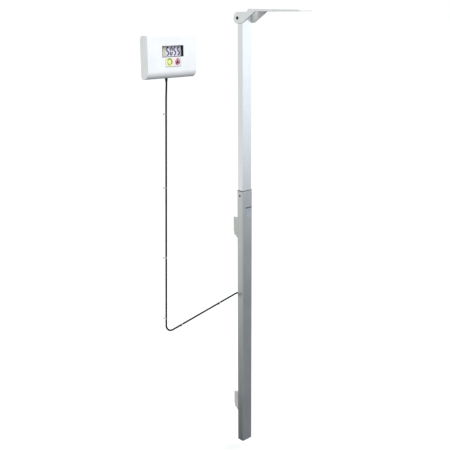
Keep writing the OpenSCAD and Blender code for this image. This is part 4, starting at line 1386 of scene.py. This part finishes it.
@dataclass
class SignalLead:
    """The lead from the display to the rod and its strain relief."""

    wardrobe: Wardrobe
    sides: int = 24
    rounds: int = 2
    ribs: int = 4
    rib_deep: float = 0.4 * MM
    rib_soft: float = 0.15 * MM
    hole: float = 2.52 * MM
    tip: float = 3.2 * MM
    shown: float = 8.0 * MM

    def build(self) -> None:
        """Makes the lead and its strain relief."""
        rings = self._rings()
        centres = [sum(ring, Vector()) / len(ring) for ring in rings]
        diameter = 2 * max((point - centres[0]).length for point in rings[0])
        line = self._smoothed(centres)
        length = sum((b - a).length for a, b in zip(line, line[1:]))
        LOG.info("lead: %.3f m long, %.1f mm thick", length, diameter / MM)
        finish = self.wardrobe.material("lead_jacket")
        self.wardrobe.dress(SweepTool().run("lead_round", line, diameter, self.sides, finish), "lead")
        self._relief()

    @staticmethod
    def _rings() -> list[list[Vector]]:
        """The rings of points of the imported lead, in order from its display end."""
        shape = welded("lead")
        top = max(v.co.z for v in shape.verts)
        row = {v for v in shape.verts if v.co.z > top - MERGE}
        seen = set(row)
        rings = []
        while row:
            rings.append([v.co.copy() for v in row])
            row = {e.other_vert(v) for v in row for e in v.link_edges} - seen
            seen |= row
        shape.free()
        return rings

    def _smoothed(self, line: list[Vector]) -> list[Vector]:
        """A line with the corners between its steps cut smaller."""
        for _ in range(self.rounds):
            finer = [line[0]]
            for before, here, after in zip(line, line[1:], line[2:]):
                cut = min((here - before).length, (after - here).length) / 4
                finer.append(here + (before - here).normalized() * cut)
                finer.append(here + (after - here).normalized() * cut)
            line = [*finer, line[-1]]
        return line

    def _relief(self) -> None:
        """The tapered strain relief with its ribs."""
        low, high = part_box("display_strain_relief")
        root, depth = (high.x - low.x) / 2, high.z - low.z
        step = self.shown / self.ribs
        profile: list[Point2] = [(self.hole, 0.0)]
        for i in range(self.ribs):
            crest = self.tip + (root - self.tip) * (i + 0.5) / self.ribs
            rib = [(crest - self.rib_soft, 0.0), (crest, 0.2), (crest, 0.6), (crest - self.rib_deep, 0.75),
                   (crest - self.rib_deep, 0.95)]
            profile += [(radius, (i + share) * step) for radius, share in rib]
        profile += [(root, self.shown), (root, depth), (self.hole, depth), (self.hole, 0.0)]
        origin = Vector(((low.x + high.x) / 2, (low.y + high.y) / 2, low.z))
        self.wardrobe.dress(lathe("strain_relief_ribbed", profile, origin, UP), "display_strain_relief")


# ------------------------------------------------------------------------------------------------ studio


@dataclass(frozen=True)
class Softbox:
    """One soft light: its place and aim in metres, its size and how bright its face is."""

    name: str
    place: tuple[float, float, float]
    aim: tuple[float, float, float]
    size: Point2
    power: float
    colour: Colour

    def build(self) -> None:
        """Makes the light."""
        data = bpy.data.lights.new(self.name, "AREA")
        data.shape = "RECTANGLE"
        data.size, data.size_y = self.size
        data.energy = self.power
        data.color = self.colour
        lamp = link(self.name, data)
        lamp.location = self.place
        lamp.rotation_euler = (Vector(self.aim) - Vector(self.place)).to_track_quat("-Z", "Y").to_euler()


@dataclass
class Studio:
    """The floor, the surroundings, the light and the camera."""

    floor_drop: float = 40 * MM
    floor_half: float = 90.0
    floor_tones: Point2 = (0.79, 0.81)
    floor_roughness: float = 0.9
    stand_off: tuple[float, float, float] = (-1.5038, -1.5600, 0.0120)
    azimuth: float = 42.445
    pitch: float = 15.809
    roll: float = -0.455
    lens: float = 59.75
    sensor: float = 36.0
    clip: Point2 = (0.05, 100.0)
    front_tint: Colour = (0.955, 0.985, 1.03)
    back_tint: Colour = (0.985, 1.0, 0.955)
    right_front: tuple[Point2, ...] = (
        (0.0, 0.3), (0.3, 0.28), (0.33, 0.28), (0.36, 0.38), (0.38, 0.52), (0.4, 0.7),
        (0.425, 0.98), (0.46, 1.22), (0.6, 1.25), (1.0, 1.5),
    )
    left_back: tuple[Point2, ...] = (
        (0.0, 0.02), (0.245, 0.03), (0.27, 0.3), (0.3, 0.5), (0.33, 0.78), (0.36, 1.0), (0.385, 0.95),
        (0.42, 0.78), (0.6, 0.9), (1.0, 1.5),
    )
    box: Softbox = Softbox(
        "right_front_box", (1.4, -2.2, 2.3), (-0.1, 0.0, 0.2), (1.4, 1.4), 40.0, (0.97, 0.985, 1.0)
    )

    def build(self, low: Vector) -> None:
        """Makes the studio.

        Args:
            low: The lowest corner of the object's box.
        """
        self._floor(low.z - self.floor_drop)
        self._surroundings()
        self.box.build()
        self._camera()
        bpy.context.scene.view_settings.view_transform = "Standard"

    def _floor(self, height: float) -> None:
        """A plain pale floor that takes a soft shadow."""
        half = self.floor_half
        corners = [(x * half, y * half, height) for x, y in ((-1, -1), (1, -1), (1, 1), (-1, 1))]
        mesh = bpy.data.meshes.new("floor")
        mesh.from_pydata(corners, [], [(0, 1, 2, 3)])
        pale, w, place = start_material("pale_floor")
        colour = w.mix(w.noise(place, 3.0), *((level,) * 3 for level in self.floor_tones))
        w.surface({"Base Color": colour, "Roughness": self.floor_roughness, "Specular IOR Level": 0.1})
        mesh.materials.append(pale)
        floor = link("floor", mesh)
        floor.visible_glossy = False
        floor.visible_diffuse = False
        floor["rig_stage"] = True

    def _surroundings(self) -> None:
        """A white room, brighter at the right front than at the left back, and darker towards the floor."""
        world = bpy.data.worlds.new("white_room")
        bpy.context.scene.world = world
        world.use_nodes = True
        world.node_tree.nodes.clear()
        w = Wiring(world.node_tree)
        x, y, z = w.parts(w.add("ShaderNodeTexCoord").outputs["Generated"])
        towards = w.ramp(w.math("SUBTRACT", x, y), -1.4, 1.4)
        height = w.ramp(z, -1.0, 1.0)
        back = self._levels(w, height, self.left_back, self.back_tint)
        front = self._levels(w, height, self.right_front, self.front_tint)
        shown = w.add("ShaderNodeLightPath").outputs["Is Camera Ray"]
        colour = w.mix(shown, w.mix(towards, back, front), (1.0, 1.0, 1.0))
        background = w.add("ShaderNodeBackground", {"Color": colour, "Strength": 1.0})
        w.add("ShaderNodeOutputWorld", {"Surface": background.outputs[0]})

    @staticmethod
    def _levels(w: Wiring, height: NodeSocket, levels: Sequence[Point2],
                tint: Colour) -> NodeSocket:
        """The room's brightness by height, from straight down (0) over level (0.5) to straight up (1)."""
        ramp = w.add("ShaderNodeValToRGB", {0: height})
        for _ in levels[2:]:
            ramp.color_ramp.elements.new(0.5)
        for element, (position, level) in zip(ramp.color_ramp.elements, levels):
            element.position = position
            element.color = (*(level * part for part in tint), 1.0)
        return ramp.outputs[0]

    def _camera(self) -> None:
        """The camera, set off from the head piece's pivot."""
        low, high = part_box("pivot_sleeve")
        turn, tilt, bank = (math.radians(v) for v in (self.azimuth, self.pitch, self.roll))
        level = Vector((math.sin(turn), math.cos(turn), 0.0))
        forward = level * math.cos(tilt) - UP * math.sin(tilt)
        right = Vector((math.cos(turn), -math.sin(turn), 0.0))
        up = right.cross(forward)
        side = right * math.cos(bank) + up * math.sin(bank)
        head = up * math.cos(bank) - right * math.sin(bank)
        data = bpy.data.cameras.new("camera")
        data.lens, data.sensor_width = self.lens, self.sensor
        data.clip_start, data.clip_end = self.clip
        camera = link("camera", data)
        turned = Matrix((side, head, -forward)).transposed().to_4x4()
        camera.matrix_world = Matrix.Translation((low + high) / 2 + Vector(self.stand_off)) @ turned
        bpy.context.scene.camera = camera


def main() -> None:
    """Builds the whole scene."""
    logging.basicConfig(level=logging.INFO, format="%(message)s")
    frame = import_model()
    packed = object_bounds()
    wardrobe = Wardrobe(frame)
    wardrobe.dress_nodes()
    for assembly in (RoundedParts, RodFittings, RodLabel, PinCaps, Screen, Keypad, SignalLead, Fasteners):
        assembly(wardrobe).build()
    Studio().build(packed[0])


if __name__ == "__main__":
    main()
